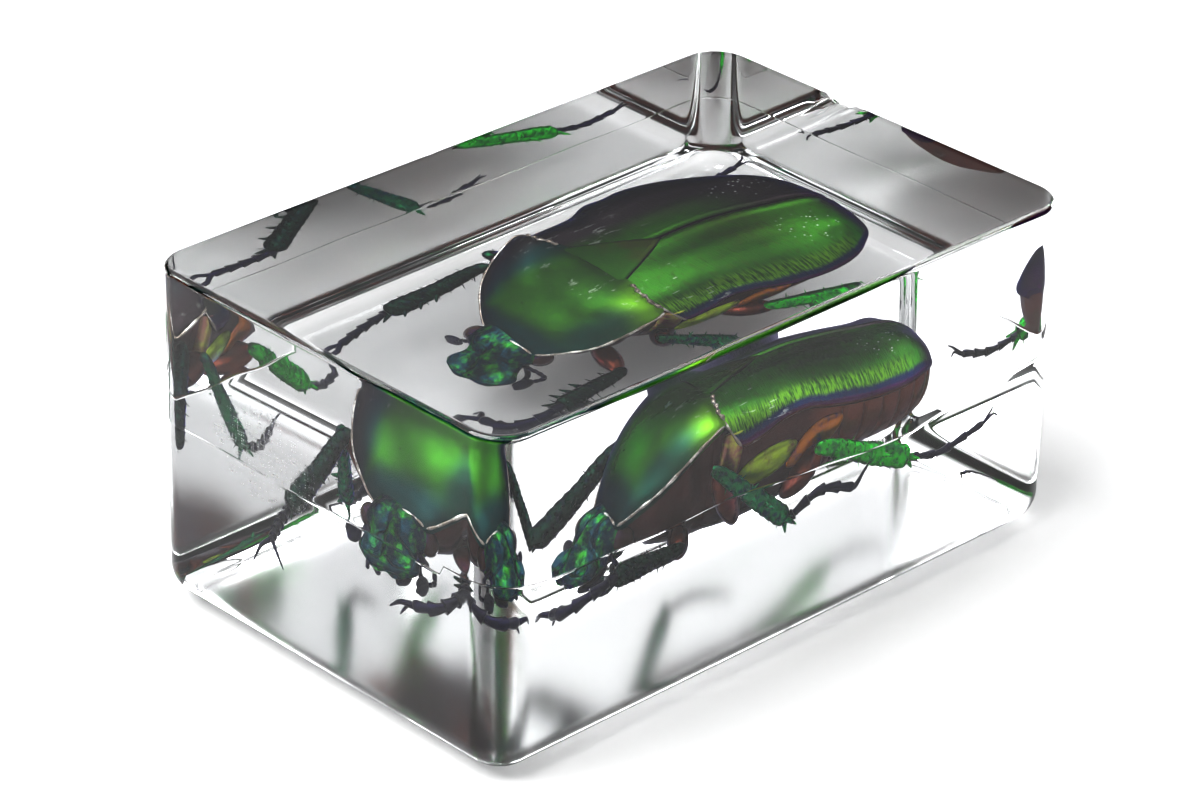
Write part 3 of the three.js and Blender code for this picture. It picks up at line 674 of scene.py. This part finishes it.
def block_skin(low, high, settings):
    """The clear casting: stacked rounded rectangles between a flat underside and a flat top.

    The bottom edge is rounded widely and the top edge hardly at all. A hairline groove runs round the walls,
    where the second pour of resin met the first. A chip is missing from the rim at the tail end, and a small
    nick from the far long rim."""
    r_bottom, r_top, r_corner, pour, chip = np.array([
        settings.bottom_round, settings.top_round, settings.corner_radius, settings.pour_height,
        settings.chip_depth]) / MM
    size = (np.array(high) - low) / MM
    below, above = (np.radians(np.linspace(0, 90, count)) for count in (25, 13))
    walls = np.concatenate([np.linspace(r_bottom, pour - GROOVE_MARGIN, 25)[1:],
                            pour + np.array(GROOVE_STEPS),
                            np.linspace(pour + GROOVE_MARGIN, size[2] - r_top, 25)[:-1]])
    heights = np.concatenate([r_bottom * (1 - np.cos(below)), walls, size[2] - r_top * (1 - np.sin(above))])
    inset = np.concatenate([r_bottom * (1 - np.sin(below)), GROOVE_DEPTH * ridge(walls, pour, GROOVE_WIDTH),
                            r_top * (1 - np.cos(above))])
    plan = rounded_rectangles(size, r_corner, inset)
    z = np.repeat(heights[:, None], plan.shape[1], 1)
    z = z + pour_wave(plan[..., 0], plan[..., 1]) * np.clip(1 - np.abs(z - pour) / 4, 0, 1)
    walls = np.concatenate([plan, z[..., None]], -1)
    shares = np.linspace(0.04, 0.98, 14)
    bottom, top = (np.stack([ring * (s, s, 1) for s in shares]) for ring in (walls[0], walls[-1]))
    return tube(chipped(np.concatenate([bottom, walls, top[::-1]]), size, chip))


def pour_wave(x, y):
    """How far the line of the second pour strays up and down round the block."""
    front = np.clip((4 - y) / 10, 0, 1)
    return (0.2 + 0.08 * np.sin(0.7 * x + 0.5 * y) + 0.6 * front * ridge(x, -22, 3.5) * (y < -10)
            - 1.1 * front * ridge(x, 8, 8))


def chipped(rings, size, depth):
    """Rings with the chip and the nick pressed in: shell-shaped hollows that cut across the top edge."""
    x, y, z = np.moveaxis(rings, -1, 0)
    for across, inward, half, deep in (
            (y - CHIP_PLACE, size[0] / 2 - x, CHIP_HALF_WIDTH, depth),
            (x - NICK_PLACE, size[1] / 2 - y, NICK_HALF_WIDTH, NICK_SHARE * depth)):
        near = ridge(across, 0, half) * (1 + 0.25 * np.sin(7 * across))
        hollow = np.clip(deep * near - inward * 0.8, 0, None)
        z = np.where(z > size[2] - CHIP_REACH, np.minimum(z, size[2] - hollow), z)
    return np.stack([x, y, z], -1)


# ---- Blender objects ----
def build(name, skin, material, nodes=(BEETLE_NODE,), smooth=40.0):
    """A named object from a closed skin in millimetres, faces outwards, riding on the root body."""
    points, faces = outwards(skin[:2])
    mesh = bpy.data.meshes.new(name)
    loops = np.concatenate([group.ravel() for group in faces])
    sizes = np.concatenate([np.full(len(group), group.shape[1]) for group in faces])
    mesh.vertices.add(len(points))
    mesh.vertices.foreach_set("co", (points * MM).astype(np.float32).ravel())
    mesh.loops.add(len(loops))
    mesh.loops.foreach_set("vertex_index", loops.astype(np.int32))
    mesh.polygons.add(len(sizes))
    mesh.polygons.foreach_set("loop_start", np.concatenate([[0], np.cumsum(sizes)[:-1]]).astype(np.int32))
    mesh.update(calc_edges=True)
    if len(skin) > 2:
        mesh.uv_layers.new(name="place").data.foreach_set("uv", skin[2][loops].astype(np.float32).ravel())
    mesh.validate()
    mesh.shade_smooth()
    mesh.set_sharp_from_angle(angle=np.radians(smooth))
    mesh.materials.append(material)
    piece = bpy.data.objects.new(name, mesh)
    bpy.context.scene.collection.objects.link(piece)
    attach(piece, "root")
    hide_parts(*nodes)
    return piece


# ---- Materials ----
class Field:
    """A value over a surface that can be used in ordinary sums."""

    def __init__(self, maker, socket):
        self.maker = maker
        self.socket = socket

    def sum_of(self, operation, *others):
        """A field worked out from this one and the others."""
        return self.maker.maths(operation, self, *others)

    def __add__(self, other):
        return self.sum_of("ADD", other)

    def __sub__(self, other):
        return self.sum_of("SUBTRACT", other)

    def __mul__(self, other):
        return self.sum_of("MULTIPLY", other)

    def __truediv__(self, other):
        return self.sum_of("DIVIDE", other)

    def __pow__(self, other):
        return self.sum_of("POWER", other)

    def __rsub__(self, other):
        return self.maker.maths("SUBTRACT", other, self)

    def __rtruediv__(self, other):
        return self.maker.maths("DIVIDE", other, self)

    def __neg__(self):
        return self.sum_of("MULTIPLY", -1.0)

    __radd__ = __add__
    __rmul__ = __mul__


def full(shade):
    """A red, green and blue with their alpha, or a socket as it is."""
    return shade if isinstance(shade, bpy.types.NodeSocket) else (*shade, 1.0)


class Maker:
    """Builds the nodes of one tree."""

    def __init__(self, tree):
        self.tree = tree

    def node(self, kind, settings=None, inputs=None):
        """A node with its settings, and its inputs set or linked."""
        made = self.tree.nodes.new(kind)
        for key, value in (settings or {}).items():
            setattr(made, key, value)
        for key, value in (inputs or {}).items():
            self.put(made.inputs[key], value)
        return made

    def put(self, socket, value):
        """Links a field or socket into a socket, or sets a plain value on it."""
        if isinstance(value, Field):
            value = value.socket
        if isinstance(value, bpy.types.NodeSocket):
            self.tree.links.new(value, socket)
        else:
            socket.default_value = value

    def maths(self, operation, *values):
        """A field worked out by one operation on fields, sockets or plain numbers."""
        made = self.node("ShaderNodeMath", {"operation": operation})
        for socket, value in zip(made.inputs, values):
            self.put(socket, value)
        return Field(self, made.outputs[0])

    def smooth(self, value, low, high):
        """A soft step of the value from 0 at low to 1 at high."""
        made = self.node("ShaderNodeMapRange", {"interpolation_type": "SMOOTHSTEP"},
                         {"Value": value, "From Min": low, "From Max": high})
        return Field(self, made.outputs[0])

    def parts(self, vector):
        """The three parts of a vector, as fields."""
        split = self.node("ShaderNodeSeparateXYZ", {}, {"Vector": vector})
        return [Field(self, part) for part in split.outputs]


class Finish(Maker):
    """Builds one material. x, y and z are the place in millimetres, u and v that on the piece's map."""

    def __init__(self, name):
        self.material = bpy.data.materials.new(name)
        self.material.use_nodes = True
        super().__init__(self.material.node_tree)
        self.tree.nodes.clear()
        self.output = self.tree.nodes.new("ShaderNodeOutputMaterial")
        places = self.node("ShaderNodeTexCoord").outputs
        self.place = places["Object"]
        self.x, self.y, self.z = (part * (1 / MM) for part in self.parts(self.place))
        self.u, self.v, _ = self.parts(places["UV"])

    def mix(self, share, a, b):
        """A colour between a and b, by the share of b."""
        made = self.node("ShaderNodeMix", {"data_type": "RGBA"})
        for k, value in ((0, share), (6, full(a)), (7, full(b))):
            self.put(made.inputs[k], value)
        return made.outputs[2]

    def layered(self, base, *coats):
        """A base colour with coats laid over it in turn, each a share and a colour."""
        for share, coat in coats:
            base = self.mix(share, base, coat)
        return base

    def greater(self, one, other):
        """The greater of two fields."""
        return self.maths("MAXIMUM", one, other)

    def noise(self, scale, detail=3.0, stretch=(1, 1, 1), roughness=0.5):
        """Noise with features about 1 / scale millimetres long, stretched along the axes."""
        moved = self.node("ShaderNodeVectorMath", {"operation": "MULTIPLY"},
                          {0: self.place, 1: tuple(scale * s / MM for s in stretch)})
        made = self.node("ShaderNodeTexNoise", {},
                         {"Vector": moved.outputs[0], "Scale": 1.0, "Detail": detail, "Roughness": roughness})
        return Field(self, made.outputs[0])

    def pricks(self, scale, size):
        """Scattered round dots, 1 at their middles, with centres about 1 / scale millimetres apart."""
        made = self.node("ShaderNodeTexVoronoi", {}, {"Vector": self.place, "Scale": scale / MM})
        return 1.0 - self.smooth(Field(self, made.outputs["Distance"]), 0.0, size)

    def dust(self):
        """Long fine flecks of dust and scratches."""
        return self.smooth(self.noise(0.8, 4, (0.6, 2.0, 2.0), 0.7), 0.6, 0.67)

    def raised(self, height, strength, distance):
        """A normal disturbed by a height."""
        made = self.node("ShaderNodeBump", {},
                         {"Height": height, "Strength": strength, "Distance": distance * MM})
        return made.outputs[0]

    def shader(self, inputs):
        """The shader of a surface, with its inputs set or linked."""
        return self.node("ShaderNodeBsdfPrincipled", {}, inputs)

    def finish(self, shader):
        """The material, once the shader is on its surface."""
        self.tree.links.new(shader.outputs[0], self.output.inputs["Surface"])
        return self.material


def body_axes(maker):
    """Fields of the body's own x (back from the cases' front edge) and y (to its left), in millimetres."""
    c, s = np.cos(BODY_YAW), np.sin(BODY_YAW)
    dx, dy = maker.x - BODY_PLACE[0], maker.y - BODY_PLACE[1]
    return dx * c + dy * s, dy * c - dx * s


def iridescent(m, base, roughness, normal, metallic=1.0):
    """A shell that shines in its base colour, and turns dark blue where it is seen aslant."""
    return m.finish(m.shader({"Base Color": base, "Metallic": metallic, "Roughness": roughness, "IOR": 1.5,
                              "Specular Tint": full(ASLANT_TINT), "Normal": normal}))


def shell_material(settings, left):
    """A wing case: green clouded with olive, painted highlights at both ends, fine dark hairs and pale dust.

    From the rim inwards come a maroon edge, a margin of painted purple sheen (also at the tail), a ring of
    painted navy sheen and a band of fine cross streaks painted bright yellow-green as a highlight. The left
    case is painted nearly black as shade, apart from a green strip by the front of the seam. Pale pricks
    stand near the tail."""
    m = Finish("wing_case_left_painted_shade" if left else "wing_case_right_green")
    x, y = body_axes(m)
    mottle = m.noise(0.35, 3)
    hairs = m.noise(1.0, 4, (11.0, 1.2, 1.2), 0.6)
    v = m.v + 0.1 * (mottle - 0.5) + 0.06 * (hairs - 0.5)
    if left:
        strip = m.smooth(v, 0.66, 0.95) * (1.0 - m.smooth(m.u, 0.3, 0.8))
        # Painted shade: the left case is painted nearly black, apart from a green strip by the seam.
        back = m.mix(strip, settings.shell_painted_shade, settings.shell_bright)
    else:
        cloud = m.smooth(v, 0.55, 0.85) * m.smooth(m.u + 0.5 * mottle, 0.55, 0.95)
        # Painted highlights at the front and tail of the case.
        ends = m.greater(m.smooth(m.u + 0.2 * mottle, 0.6, 0.85) * 0.7,
                         m.smooth(m.u + 0.3 * mottle, 0.5, 0.25) * 0.6)
        specks = m.smooth(m.noise(1.6, 4, (2.0, 1.0, 1.0), 0.7), 0.48, 0.7)
        back = m.layered(settings.shell_green, (cloud, settings.shell_olive),
                         (m.smooth(hairs, 0.5, 0.7) * 0.5, settings.shell_bright),
                         (ends, CASE_PAINTED_HIGHLIGHT), (specks * 0.5, settings.shell_olive))
    # Painted highlight: a band of streaks painted bright yellow-green along the side, faint on the left case.
    streaks = m.mix(m.smooth(hairs, 0.4, 0.6), settings.shell_green, settings.shell_painted_highlight_yellow)
    band = m.smooth(v, 0.46, 0.34) * (1.0 - m.smooth(m.u + 0.2 * mottle, 0.86, 0.99))
    off_patch = (x - 13.4) * (x - 13.4) / 6.0 + (m.maths("ABSOLUTE", y) - 3.2) ** 2 / 3.0
    pricks = m.pricks(2.4, 0.26) * m.smooth(-off_patch, -1.2, -0.4)
    dust = m.dust() * (1.0 - m.smooth(m.u, 0.15, 0.4))
    base = m.layered(
        back,
        (band * (0.1 if left else 0.9), streaks),
        # Painted sheen: a navy ring inside the rim, then purple on the margin and at the tail.
        (m.smooth(v, 0.25, 0.18), settings.shell_painted_sheen_navy),
        (m.smooth(v, 0.15, 0.1), settings.margin_painted_sheen_purple),
        (m.smooth(m.v, 0.07, 0.04), settings.edge_maroon),
        (m.smooth(m.u + 0.05 * mottle, 0.9, 1.0), settings.margin_painted_sheen_purple),
        ((0.15 + 0.3 * band) * m.smooth(hairs, 0.5, 0.34), HAIR_BLACK),
        (m.smooth(m.v, 0.985, 0.995), SEAM_BLACK),
        (m.greater(pricks * 0.9, dust * 0.35), PALE_SPOTS))
    height = hairs * 0.6 + m.noise(5.0, 2) * 0.25 + pricks
    return iridescent(m, base, 0.32, m.raised(height, 0.5, 0.09))


def pronotum_material(settings):
    """Vivid green with a painted highlight in the middle and a painted yellow-green highlight at the right
    hind corner; painted shade makes it dark teal low down.

    Painted teal sheen turns it teal to the left and front, and painted shade makes it nearly black at the
    left. Small dark pits are scattered over it, and dust lies towards the back."""
    m = Finish("pronotum_green")
    x, y = body_axes(m)
    cloud = m.noise(0.3, 3)
    # Painted highlight over the middle.
    painted_highlight = m.smooth(-x, 1.8, 4.6) * (1.0 - m.smooth(-x, 5.0, 6.4)) * m.smooth(y, -5.0, -1.5)
    # Painted shade: dark teal low on the right side, towards the front.
    low = m.smooth(-0.3 * x - y, 4.5, 6.2) * m.smooth(1.5 * cloud - x, 1.0, 3.4)
    base = m.layered(
        PRONOTUM_DEEP,
        (m.smooth(cloud, 0.5, 0.8), settings.shell_bright),
        (painted_highlight * 0.6, PRONOTUM_PAINTED_HIGHLIGHT),
        # Painted highlight: yellow-green at the right hind corner.
        (m.smooth(x * 0.8 - y + 2.0 * cloud, 3.0, 6.2), settings.shell_painted_highlight_yellow),
        (low * 0.85, PRONOTUM_PAINTED_SHADE),
        # Painted sheen: teal to the left and front.
        (m.greater(m.smooth(y + 2.0 * cloud, 2.4, 4.4), m.smooth(cloud - x, 5.6, 6.6)), settings.shell_painted_sheen_teal),
        # Painted shade: nearly black at the left.
        (m.smooth(y - 0.2 * x + 2.0 * cloud, 4.6, 6.4), settings.shell_painted_shade),
        (m.pricks(0.75, 0.1) * 0.8, PRONOTUM_PITS),
        (m.dust() * m.smooth(x, -3.5, -1.0) * 0.5, PRONOTUM_DUST))
    height = m.noise(6.0, 2) * 0.5 + m.noise(2.0, 2)
    return iridescent(m, base, 0.42, m.raised(height, 0.16, 0.06))


def scutellum_material(settings):
    """Green, clouded with brown towards its point, with dark seams."""
    m = Finish("scutellum_green")
    base = m.layered(settings.shell_green, (m.smooth(m.u + m.noise(0.7, 3), 0.7, 1.2), settings.shell_olive),
                     (m.smooth(m.v, 0.5, 0.15), SCUTELLUM_SEAM))
    return iridescent(m, base, 0.42, m.raised(m.noise(4.0, 3), 0.3, 0.06))


def metal_material(name, shades, roughness, grain, metallic=0.9, strength=0.4, patches=0.9):
    """A mottled, finely grained metallic finish of two shades. grain and patches are noise scales."""
    m = Finish(name)
    patch = m.smooth(m.noise(patches, 5, (1, 1, 1), 0.65), 0.46, 0.72)
    normal = m.raised(m.noise(grain, 3), strength, 0.1)
    return iridescent(m, m.mix(patch, *shades), roughness, normal, metallic)


def leg_material(settings):
    """Rough pitted shins: nearly black in front, teal in the middle and vivid green at the back."""
    m = Finish("shin_green")
    patch = m.smooth(m.noise(2.2, 4), 0.45, 0.66)
    pairs = (SHIN_DARK, SHIN_TEAL, (settings.shin_green, SHIN_PATCH))
    dark, teal, vivid = (m.mix(patch, *pair) for pair in pairs)
    along_body = m.x + 2.0 * m.noise(0.5)
    pits = m.pricks(3.0, 0.4)
    base = m.layered(dark, (m.smooth(along_body, -3.0, 1.0), teal), (m.smooth(along_body, 3.5, 6.5), vivid),
                     (pits * 0.7, SHIN_PITS))
    return iridescent(m, base, 0.3, m.raised(m.noise(4.0, 3) - pits, 0.9, 0.1))


def belly_material(settings):
    """Brown rings with faint gold-green glints, darker on the breast."""
    m = Finish("underside_brown")
    x, _ = body_axes(m)
    glint = m.smooth(m.noise(0.6, 3, (0.4, 1, 1)), 0.55, 0.72)
    breast = 1.0 - m.smooth(x + m.noise(0.4, 2), 7.0, 8.6)
    base = m.layered(settings.underside_brown, (glint * 0.6, RING_GLINT), (breast * 0.7, BREAST_DARK))
    return iridescent(m, base, 0.38, m.raised(m.noise(3.0, 3), 0.35, 0.1), 0.6)


def resin_material(settings):
    """Clear casting resin: plain transmission, refraction and a very faint grey absorption.

    The sides and top are polished, with rubbed scratches on the end by the head. The flat underside is left
    satin, so that it blurs what it mirrors."""
    m = Finish("clear_resin")
    satin = settings.satin * (1.0 - m.smooth(m.z, 0.02, 0.12))
    y, z = m.y - RUBBED_PLACE[0], m.z - RUBBED_PLACE[1]
    rubbed = 1.0 - m.smooth(y * y / RUBBED_SPREAD[0] + z * z / RUBBED_SPREAD[1], 0.4, 1.0)
    upright = m.smooth(m.noise(2.4, 4, (1, 5.0, 0.5), 0.6), 0.5, 0.64)
    level = m.smooth(m.noise(2.4, 4, (1, 0.5, 5.0), 0.6), 0.54, 0.66)
    scratches = SCRATCH_ROUGHNESS * (m.smooth(m.x, *RUBBED_END) * rubbed) * (upright + level)
    shader = m.shader({"Base Color": full((1, 1, 1)), "Roughness": satin + scratches,
                       "IOR": settings.refraction, "Transmission Weight": 1.0})
    depth = m.node("ShaderNodeVolumeAbsorption", {},
                   {"Color": full(settings.tint), "Density": settings.density})
    m.tree.links.new(depth.outputs[0], m.output.inputs["Volume"])
    return m.finish(shader)


# ---- Settings ----
def length(name, description, default, low):
    """A setting that is a length, given in millimetres."""
    return FloatProperty(name=name, description=description, default=default * MM, min=low * MM,
                         unit="LENGTH")


def shade(name, description, default):
    """A setting that is a colour."""
    return FloatVectorProperty(name=name, description=description, default=default, min=0, max=1,
                               subtype="COLOR")


class ResinSettings(PropertyGroup):
    corner_radius: length("Corner radius", "Radius of the upright corners", 2.4, 0.5)
    bottom_round: length("Bottom round", "Radius of the edge round the underside", 2.1, 0.2)
    top_round: length("Top round", "Radius of the edge round the top", 0.4, 0.1)
    pour_height: length("Pour height", "Height of the line where the second pour began", 11.2, 4)
    chip_depth: length("Chip depth", "Depth of the chip in the far top edge", 0.7, 0)
    refraction: FloatProperty(name="Refraction", description="Refractive index of the resin",
                              default=1.52, min=1.3)
    satin: FloatProperty(name="Underside satin", description="Roughness of the flat underside",
                         default=0.2, min=0, max=1)
    tint: shade("Tint", "Colour of the light that passes through the resin", (0.8, 0.82, 0.83))
    density: FloatProperty(name="Absorption", description="How much light the resin takes, per metre",
                           default=10, min=0)


class BeetleSettings(PropertyGroup):
    shell_green: shade("Shell green", "Main colour of the wing cases", (0.019, 0.083, 0.007))
    shell_bright: shade("Shell bright green", "Colour of the brightest patches", (0.032, 0.14, 0.009))
    shell_olive: shade("Shell olive", "Colour of the clouds on the back", (0.036, 0.05, 0.009))
    # Painted highlight colour: the wing case's side band and the pronotum's right hind corner.
    shell_painted_highlight_yellow: shade("Shell yellow-green", "Colour of the side band and a corner", (0.11, 0.27, 0.012))
    # Painted sheen colour round the pronotum's green middle.
    shell_painted_sheen_teal: shade("Shell teal", "Colour round the pronotum's green middle", (0.006, 0.035, 0.035))
    # Painted sheen colour of the navy ring inside the wing cases' rim.
    shell_painted_sheen_navy: shade("Shell navy", "Colour of the ring inside the wing cases' rim", (0.008, 0.017, 0.058))
    # Painted shade colour of the left wing case and the pronotum's left side.
    shell_painted_shade: shade("Shell dark", "Colour of the darkened left side", (0.03, 0.022, 0.026))
    # Painted sheen colour of the wing cases' purple margin and tail.
    margin_painted_sheen_purple: shade("Margin purple", "Colour of the wing cases' outer margin", (0.055, 0.012, 0.06))
    edge_maroon: shade("Edge maroon", "Colour of the wing cases' edge", (0.045, 0.012, 0.01))
    underside_brown: shade("Underside brown", "Colour of the hind body's rings", (0.12, 0.035, 0.015))
    thigh_brown: shade("Thigh brown", "Colour of the thighs", (0.12, 0.032, 0.014))
    shin_green: shade("Shin green", "Colour of the hind shins", (0.018, 0.36, 0.022))
    feet_black: shade("Feet black", "Colour of the feet, claws, mouth and feelers", (0.006, 0.006, 0.008))


class StageSettings(PropertyGroup):
    floor_colour: shade("Floor colour", "Colour of the plain floor", (0.47, 0.47, 0.47))
    lamp_power: FloatProperty(name="Lamp power", description="Power that each soft lamp takes its share of",
                              default=8, min=0, unit="POWER")
    sky: FloatProperty(name="Room light", description="Strength of the light from the room",
                       default=1, min=0)


# ---- Operators ----
class SPECIMEN_OT_resin(Operator):
    """Build the clear resin block"""
    bl_idname = "specimen.resin"
    bl_label = "Resin block"

    def execute(self, context):
        settings = context.scene.specimen_resin
        low = np.minimum(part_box("resin_block_lower")[0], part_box("resin_block_upper")[0])
        high = np.maximum(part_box("resin_block_lower")[1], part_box("resin_block_upper")[1])
        build("resin_block", block_skin(low, high, settings), resin_material(settings),
              ("resin_block_lower", "resin_block_upper"), 25)
        return {"FINISHED"}


class SPECIMEN_OT_back(Operator):
    """Build the wing cases, scutellum and pronotum"""
    bl_idname = "specimen.back"
    bl_label = "Back"

    def execute(self, context):
        settings = context.scene.specimen_beetle
        for name, side in (("wing_case_left", 1), ("wing_case_right", -1)):
            build(name, wing_case(side), shell_material(settings, side > 0))
        build("scutellum", scutellum(), scutellum_material(settings))
        build("pronotum", pronotum(), pronotum_material(settings))
        build("pronotum_rim", pronotum_rim(), metal_material("pale_rim", RIM_PALE, 0.3, 2.0, 0.7))
        return {"FINISHED"}


class SPECIMEN_OT_underside(Operator):
    """Build the hind body, the chest and the plates on the sides"""
    bl_idname = "specimen.underside"
    bl_label = "Underside"

    def execute(self, context):
        settings = context.scene.specimen_beetle
        brown = belly_material(settings)
        build("hind_body", belly(), brown)
        build("chest", chest(), brown)
        for name, plate_pair in SIDE_PLATES.items():
            finish = metal_material(name + "_finish", plate_pair["shades"], 0.3, 2.4, 0.85, 0.35, 0.7)
            build(name, together([side_plate(side, plate_pair) for side in (-1, 1)]), finish)
        return {"FINISHED"}


class SPECIMEN_OT_head(Operator):
    """Build the head, eyes, mouth and feelers"""
    bl_idname = "specimen.head"
    bl_label = "Head"

    def execute(self, context):
        settings = context.scene.specimen_beetle
        black = metal_material("mouth_black", (settings.feet_black, MOUTH_PATCH), 0.4, 3.0, 0.2)
        # The head's bright green patches are painted glints.
        build("head", head(), metal_material("head_green", HEAD_TEAL_AND_PAINTED_GLINTS, 0.34, 4.0, 1.0, 1.0, 1.1))
        build("eyes", eyes(), metal_material("eye_brown", EYE_BROWN, 0.2, 8.0, 0.0, 0.1))
        build("mouth", mouth(), black)
        build("feelers", feelers(), black)
        return {"FINISHED"}


class SPECIMEN_OT_legs(Operator):
    """Build the thighs, shins and feet of the six legs"""
    bl_idname = "specimen.legs"
    bl_label = "Legs"

    def execute(self, context):
        settings = context.scene.specimen_beetle
        copper = metal_material("thigh_copper", (settings.thigh_brown, THIGH_PATCH), 0.3, 2.5, 0.8, 0.25)
        black = metal_material("feet_black", (settings.feet_black, FEET_PATCH), 0.35, 3.0, 0.2)
        build("thighs", thighs(), copper)
        build("shins", shins(), leg_material(settings))
        build("feet_and_claws", feet(), black)
        return {"FINISHED"}


def facing(across, upward, back, place):
    """The matrix of a lamp or camera at a place, from its own three directions."""
    matrix = np.eye(4)
    matrix[:3] = np.stack([across, upward, back, place], -1)
    return Matrix(matrix.tolist())


def placed(scene, name, data, matrix):
    """A lamp or camera in the scene."""
    made = bpy.data.objects.new(name, data)
    scene.collection.objects.link(made)
    made.matrix_world = matrix
    return made


class SPECIMEN_OT_stage(Operator):
    """Lay out the floor, light and camera"""
    bl_idname = "specimen.stage"
    bl_label = "Stage"

    def execute(self, context):
        settings = context.scene.specimen_stage
        scene = context.scene
        self.floor(scene, settings)
        for name, lamp in LAMPS.items():
            self.lamp(scene, name, lamp, settings.lamp_power)
        self.room(scene, settings)
        self.camera(scene)
        scene.view_settings.view_transform = "Standard"
        scene.view_settings.exposure = 0.4
        scene.view_settings.gamma = 0.74
        scene.cycles.max_bounces = 24
        scene.cycles.transmission_bounces = 20
        scene.cycles.glossy_bounces = 16
        return {"FINISHED"}

    def floor(self, scene, settings):
        """A plain floor just under the block."""
        reach = np.linspace(-FLOOR_REACH, FLOOR_REACH, FLOOR_POINTS)
        x, y = np.meshgrid(reach, reach, indexing="ij")
        points = np.stack([x, y, np.full_like(x, -FLOOR_DROP)], -1).reshape(-1, 3)
        mesh = bpy.data.meshes.new("floor")
        mesh.from_pydata(points.tolist(), [], grid_faces(FLOOR_POINTS, FLOOR_POINTS, False).tolist())
        plain = Finish("floor_plain")
        shader = plain.shader({"Base Color": full(settings.floor_colour), "Roughness": 0.9})
        mesh.materials.append(plain.finish(shader))
        floor = bpy.data.objects.new("floor", mesh)
        scene.collection.objects.link(floor)

    def lamp(self, scene, name, lamp, power):
        """A soft rectangular lamp that shines on the block."""
        data = bpy.data.lights.new(name, "AREA")
        data.shape = "RECTANGLE"
        data.size, data.size_y = lamp["size"]
        data.energy = lamp["share"] * power
        back = (lamp["place"] - LAMP_TARGET) / np.linalg.norm(lamp["place"] - LAMP_TARGET)
        across = np.cross((0, 1, 0.01), back)
        across /= np.linalg.norm(across)
        placed(scene, name, data, facing(across, np.cross(back, across), back, lamp["place"]))

    def room(self, scene, settings):
        """White light from the room: dark round the horizon, and full from about 37 degrees up.

        It is brightest at the back left and dimmest at the front right."""
        world = bpy.data.worlds.new("room")
        scene.world = world
        world.use_nodes = True
        room = Maker(world.node_tree)
        x, y, z = room.parts(room.node("ShaderNodeTexCoord").outputs["Generated"])
        side = ROOM_SIDES[0] + ROOM_SIDES[1] * x + ROOM_SIDES[2] * y
        back = world.node_tree.nodes["Background"]
        room.put(back.inputs[0], full(ROOM_WHITE))
        room.put(back.inputs[1], (ROOM_LOW + side * room.smooth(z, *ROOM_RISE)) * settings.sky)

    def camera(self, scene):
        """A long lens at the front corner, above the block."""
        azimuth, elevation, roll = np.radians(CAMERA_TURN)
        right = np.array([np.cos(azimuth), np.sin(azimuth), 0.0])
        back = np.array([np.sin(azimuth), -np.cos(azimuth), 0.0]) * np.cos(elevation)
        back[2] = np.sin(elevation)
        up = np.cross(back, right)
        place = (0, 0, CAMERA_HEIGHT) - CAMERA_SHIFT[0] * right - CAMERA_SHIFT[1] * up
        place = place + CAMERA_DISTANCE * back
        data = bpy.data.cameras.new("camera")
        data.lens = CAMERA_LENS
        data.sensor_width = CAMERA_SENSOR
        across = np.cos(roll) * right + np.sin(roll) * up
        upward = -np.sin(roll) * right + np.cos(roll) * up
        scene.camera = placed(scene, "camera", data, facing(across, upward, back, place))


class SPECIMEN_PT_panel(Panel):
    """Sizes, colours and building steps"""
    bl_idname = "SPECIMEN_PT_panel"
    bl_label = "Specimen"
    bl_space_type = "VIEW_3D"
    bl_region_type = "UI"
    bl_category = "Specimen"

    def draw(self, context):
        for group in (getattr(context.scene, name) for name in GROUPS):
            box = self.layout.box()
            for name in group.bl_rna.properties.keys():
                if name not in {"rna_type", "name"}:
                    box.prop(group, name)
        for step in STEPS:
            self.layout.operator(step.bl_idname)


GROUPS = {"specimen_resin": ResinSettings, "specimen_beetle": BeetleSettings, "specimen_stage": StageSettings}
STEPS = (SPECIMEN_OT_back, SPECIMEN_OT_underside, SPECIMEN_OT_head, SPECIMEN_OT_legs, SPECIMEN_OT_resin,
         SPECIMEN_OT_stage)


def register():
    for kind in (*GROUPS.values(), *STEPS, SPECIMEN_PT_panel):
        bpy.utils.register_class(kind)
    for name, kind in GROUPS.items():
        setattr(bpy.types.Scene, name, PointerProperty(type=kind))


def unregister():
    for name in GROUPS:
        delattr(bpy.types.Scene, name)
    for kind in (SPECIMEN_PT_panel, *reversed(STEPS), *reversed(GROUPS.values())):
        bpy.utils.unregister_class(kind)


def main():
    """Registers the add-on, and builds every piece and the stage."""
    register()
    bpy.ops.specimen.back()
    bpy.ops.specimen.underside()
    bpy.ops.specimen.head()
    bpy.ops.specimen.legs()
    bpy.ops.specimen.resin()
    bpy.ops.specimen.stage()


if __name__ == "__main__":
    main()
